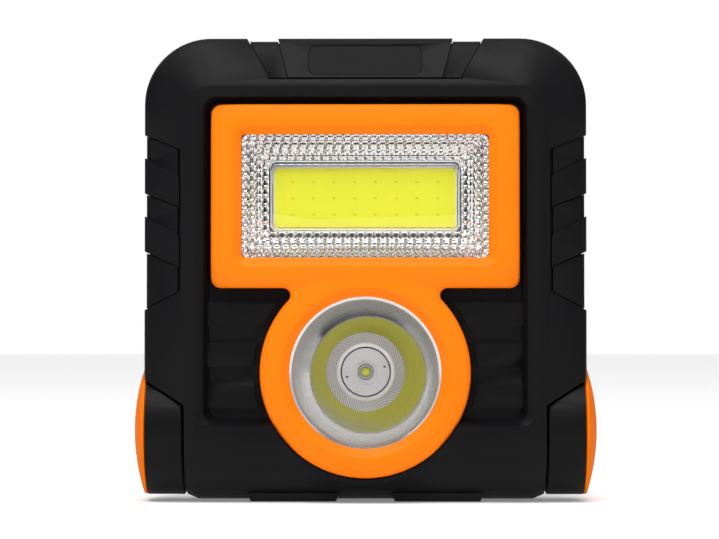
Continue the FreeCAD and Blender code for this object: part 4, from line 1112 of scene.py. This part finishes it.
class WORKLIGHT_OT_stand(bpy.types.Operator):
    """Finish the stand, its caps, magnets and hook"""

    bl_idname = "worklight.stand"
    bl_label = "Stand"

    def execute(self, context):
        s = context.scene.worklight_case
        rounded_copy("stand_frame", "stand_frame_moulded", finish("stand"), "black_stand", s.edge)
        rounded_copy("hook", "hook_moulded", finish("stand"), "black_stand", 0.5 * MM, segments=4)
        for side, node in ((-1, "hinge_cap_left"), (1, "hinge_cap_right")):
            low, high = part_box(node)
            root, tip = (low.x, high.x) if side > 0 else (high.x, low.x)
            r = (high.z - low.z) / 2
            rim, edge = root + side * 1.5 * MM, tip - side * 3.0 * MM
            seam = rim + side * 0.28 * MM
            profile = [(rim, 0.0), (rim, 7.7 * MM), (root, 7.7 * MM), (root, 8.9 * MM)]
            profile += [(rim, 8.9 * MM), (rim, r - 0.8 * MM), (seam, r - 0.8 * MM), (seam, r)]
            profile += [(edge - side * 0.25 * MM, r), (edge, r - 0.08 * MM)]
            reach, rise = r - 0.35 * MM, 2.85 * MM
            ball = (reach**2 + rise**2) / (2 * rise)
            for k in range(19):
                q = reach * (1 - k / 18)
                profile.append((tip - side * (ball - math.sqrt(ball**2 - q * q)), q))
            mesh = turned(node + "_domed", profile, centre_of(node), 160, "X")
            new_piece(mesh.name, mesh, finish("cap"), "stand", "orange_trim", node)
        dress(finish("nickel"), "magnets")
        dress(finish("steel"), "magnet_cups", "hook_pin")
        return {"FINISHED"}


class WORKLIGHT_OT_controls(bpy.types.Operator):
    """Finish the button, port cover and indicator on the back"""

    bl_idname = "worklight.controls"
    bl_label = "Controls"

    def execute(self, context):
        orange = finish("orange")
        rounded_copy("power_button", "power_button_moulded", orange, "orange_trim", 0.15 * MM)
        rounded_copy("port_cover", "port_cover_moulded", finish("rubber"), "rubber", 0.2 * MM)
        dress(finish("frosted"), "light_pipe")
        dress(finish("steel"), "usb_socket")
        dress(finish("silicone"), "charge_lights", "switch_plunger")
        dress(finish("epoxy"), "switch_body")
        return {"FINISHED"}


INNER_PARTS = (
    ("silicone", "spot_board"),
    ("sheet", "flood_heat_sink", "spot_heat_sink"),
    ("steel", "heat_sink_screws", "board_screws", "pivot_washers"),
    ("steel", "disc_springs", "pivot_screws", "pivot_nuts"),
    ("black_screw", "shell_screws"),
    ("board", "driver_board"),
    ("epoxy", "driver_chips", "inductor_core"),
    ("copper", "inductor_coil"),
    ("sleeve", "cell_upper", "cell_lower"),
    ("trim", "battery_cradle"),
    ("nickel", "battery_plates", "battery_springs"),
    ("flood_insulation", "flood_leads"),
    ("spot_insulation", "spot_leads"),
    ("battery_insulation", "battery_leads"),
    ("acetal", "pivot_bush_left", "pivot_bush_right"),
)


class WORKLIGHT_OT_inside(bpy.types.Operator):
    """Finish the boards, cells, leads, heat sinks and fasteners inside"""

    bl_idname = "worklight.inside"
    bl_label = "Inside"

    def execute(self, context):
        for kind, *nodes in INNER_PARTS:
            dress(finish(kind), *nodes)
        return {"FINISHED"}


FINISHES = {}


def make_finish(kind):
    scene = bpy.context.scene
    case, bezel, flood = scene.worklight_case, scene.worklight_bezel, scene.worklight_flood
    black, orange, glow = tuple(case.black), tuple(bezel.orange), tuple(flood.glow)
    recipes = {
        "case": (moulded, "moulded black", black, case.grain),
        "stand": (moulded, "moulded black stand", shade(black, 0.92), case.grain),
        "trim": (moulded, "satin black", shade(black, 0.85), case.grain * 0.6, 0.52, 0.008),
        "orange": (moulded_orange, "satin orange", orange),
        # painted shade: the caps take the bezel's orange darkened to 0.8
        "cap": (moulded_orange, "satin orange cap", shade(orange, 0.80), 0.54, 0.03),
        "rubber": (soft_rubber, "soft black rubber", shade(black, 1.3)),
        "cut_glass": (cut_glass, "clear lens"),
        "thin_clear": (thin_clear, "thin clear cover"),
        "frosted": (thin_clear, "frosted light pipe", 0.45),
        "metallised": (metallised, "metallised frame", (0.86, 0.855, 0.85), 0.05),
        "reflector": (spun_cup, "metallised cup", (0.66, 0.65, 0.64), scene.worklight_spot),
        "phosphor": (phosphor, "panel phosphor", glow, 5.70 * MM, 4.45 * MM, 8, 3),
        "spot_phosphor": (milky, "spot phosphor", glow),
        "silicone": (milky, "white silicone", (0.80, 0.79, 0.78)),
        "spot_plate": (milky, "spot plate", (0.80, 0.79, 0.80)),
        "emitter": (milky, "emitter body", (0.78, 0.77, 0.77)),
        "acetal": (milky, "natural acetal", (0.74, 0.72, 0.66)),
        "chip": (milky, "light chip", (0.30, 0.34, 0.42)),
        "epoxy": (moulded, "black epoxy", (0.02, 0.02, 0.02), 0.2 * MM),
        "nickel": (plated, "bright nickel", (0.72, 0.71, 0.67), EVEN, 0.14),
        "steel": (plated, "zinc-plated steel", (0.62, 0.63, 0.64)),
        "sheet": (plated, "rolled aluminium", (0.76, 0.76, 0.77), (0.04, 1.0, 1.0), 0.3),
        "black_screw": (plated, "blackened steel", (0.08, 0.08, 0.08), EVEN, 0.36),
        "copper": (plated, "enamelled copper", (0.72, 0.34, 0.18), EVEN, 0.28),
        "board": (circuit, "green circuit board", (0.010, 0.115, 0.045)),
        "flood_insulation": (insulation, "flood lead insulation", 0, centre_of("flood_leads").x),
        "spot_insulation": (insulation, "spot lead insulation", 2, SPOT.z),
        "battery_insulation": (insulation, "battery lead insulation", 0, 0.0),
        "sleeve": (sleeve, "cell sleeve", (0.02, 0.10, 0.38)),
    }
    maker, *values = recipes[kind]
    return maker(*values)


def finish(kind):
    """Material of a finish, made once."""
    if kind not in FINISHES:
        FINISHES[kind] = make_finish(kind)
    return FINISHES[kind]


# ---------------------------------------------------------------- stage
def softbox(name, place, width, height, power):
    """Soft rectangular light that looks at the middle of the work light."""
    data = bpy.data.lights.new(name, "AREA")
    data.shape = "RECTANGLE"
    data.size, data.size_y = width, height
    data.energy = power
    lamp = bpy.data.objects.new(name, data)
    bpy.context.scene.collection.objects.link(lamp)
    lamp.location = place
    aim = Vector((0.0, 0.0, 70 * MM)) - Vector(place)
    lamp.rotation_euler = aim.to_track_quat("-Z", "Y").to_euler()


class WORKLIGHT_OT_stage(bpy.types.Operator):
    """Set the floor, the studio light and the camera"""

    bl_idname = "worklight.stage"
    bl_label = "Stage"

    def execute(self, context):
        s = context.scene.worklight_stage
        floor = bpy.data.meshes.new("floor")
        corners = [(6.0 * x, 6.0 * y, 0.0) for x, y in ((-1, -1), (1, -1), (1, 1), (-1, 1))]
        floor.from_pydata(corners, [], [(0, 1, 2, 3)])
        f = Finish("pale paper")
        paper = f.mix(f.noise(2 * MM, 3.0), (0.88, 0.88, 0.88), (0.91, 0.91, 0.91))
        values = {"Emission_Color": paper, "Emission_Strength": s.glow, "Specular": 0.1}
        floor.materials.append(f.done(f.principled(Base_Color=paper, Roughness=0.9, **values)))
        ground = bpy.data.objects.new("floor", floor)
        ground.location.z = -0.0001
        context.scene.collection.objects.link(ground)

        world = bpy.data.worlds.new("studio")
        context.scene.world = world
        world.use_nodes = True
        g = Graph(world.node_tree)
        world.node_tree.nodes.clear()
        _, y, z = g.split(g.node("ShaderNodeTexCoord", out="Generated"))
        behind, above = y.ease(0.0, 0.5), z.ease(0.20, 0.80)
        glow = behind * 0.16 + above * 0.90 + 0.06
        seen = g.node("ShaderNodeLightPath", None, None, out="Is Camera Ray")
        values = {"Color": (1.0, 1.0, 1.0, 1.0), "Strength": glow.math("MAXIMUM", seen)}
        sky = g.node("ShaderNodeBackground", None, values)
        g.node("ShaderNodeOutputWorld", None, {"Surface": sky})

        softbox("overhead", (-0.12, -0.55, 1.05), 0.9, 0.5, 10.4)
        softbox("front left", (-0.85, -1.15, 0.22), 1.0, 1.0, 2.9)
        softbox("front right", (0.85, -1.15, 0.22), 1.0, 1.0, 2.6)

        lens = bpy.data.cameras.new("camera")
        lens.lens = s.focal
        lens.sensor_width = 36.0
        lens.clip_start = 0.05
        camera = bpy.data.objects.new("camera", lens)
        context.scene.collection.objects.link(camera)
        camera.location = (s.right, -s.distance, s.height)
        look_at = Vector((-1.75 * MM, 0.0, 64.85 * MM))
        camera.rotation_euler = (look_at - camera.location).to_track_quat("-Z", "Y").to_euler()
        context.scene.camera = camera
        context.scene.view_settings.view_transform = "Standard"
        return {"FINISHED"}


class WORKLIGHT_PT_panel(bpy.types.Panel):
    """Sidebar panel with the work light's pieces"""

    bl_label = "Work light"
    bl_idname = "WORKLIGHT_PT_panel"
    bl_space_type = "VIEW_3D"
    bl_region_type = "UI"
    bl_category = "Work light"

    def draw(self, context):
        for group, _ in GROUPS:
            settings = getattr(context.scene, group)
            for key in settings.__annotations__:
                self.layout.prop(settings, key)
        for step in STEPS:
            self.layout.operator(step.bl_idname)


GROUPS = (
    ("worklight_case", CaseSettings),
    ("worklight_bezel", BezelSettings),
    ("worklight_flood", FloodSettings),
    ("worklight_spot", SpotSettings),
    ("worklight_stage", StageSettings),
)
STEPS = (
    WORKLIGHT_OT_stage,
    WORKLIGHT_OT_case,
    WORKLIGHT_OT_bezel,
    WORKLIGHT_OT_flood,
    WORKLIGHT_OT_spot,
    WORKLIGHT_OT_stand,
    WORKLIGHT_OT_controls,
    WORKLIGHT_OT_inside,
)


def register():
    for name, group in GROUPS:
        bpy.utils.register_class(group)
        setattr(bpy.types.Scene, name, bpy.props.PointerProperty(type=group))
    for step in STEPS:
        bpy.utils.register_class(step)
    bpy.utils.register_class(WORKLIGHT_PT_panel)


def unregister():
    bpy.utils.unregister_class(WORKLIGHT_PT_panel)
    for step in reversed(STEPS):
        bpy.utils.unregister_class(step)
    for name, group in reversed(GROUPS):
        delattr(bpy.types.Scene, name)
        bpy.utils.unregister_class(group)


def main():
    register()
    for step in STEPS:
        family, name = step.bl_idname.split(".")
        getattr(getattr(bpy.ops, family), name)()


if __name__ == "__main__":
    main()
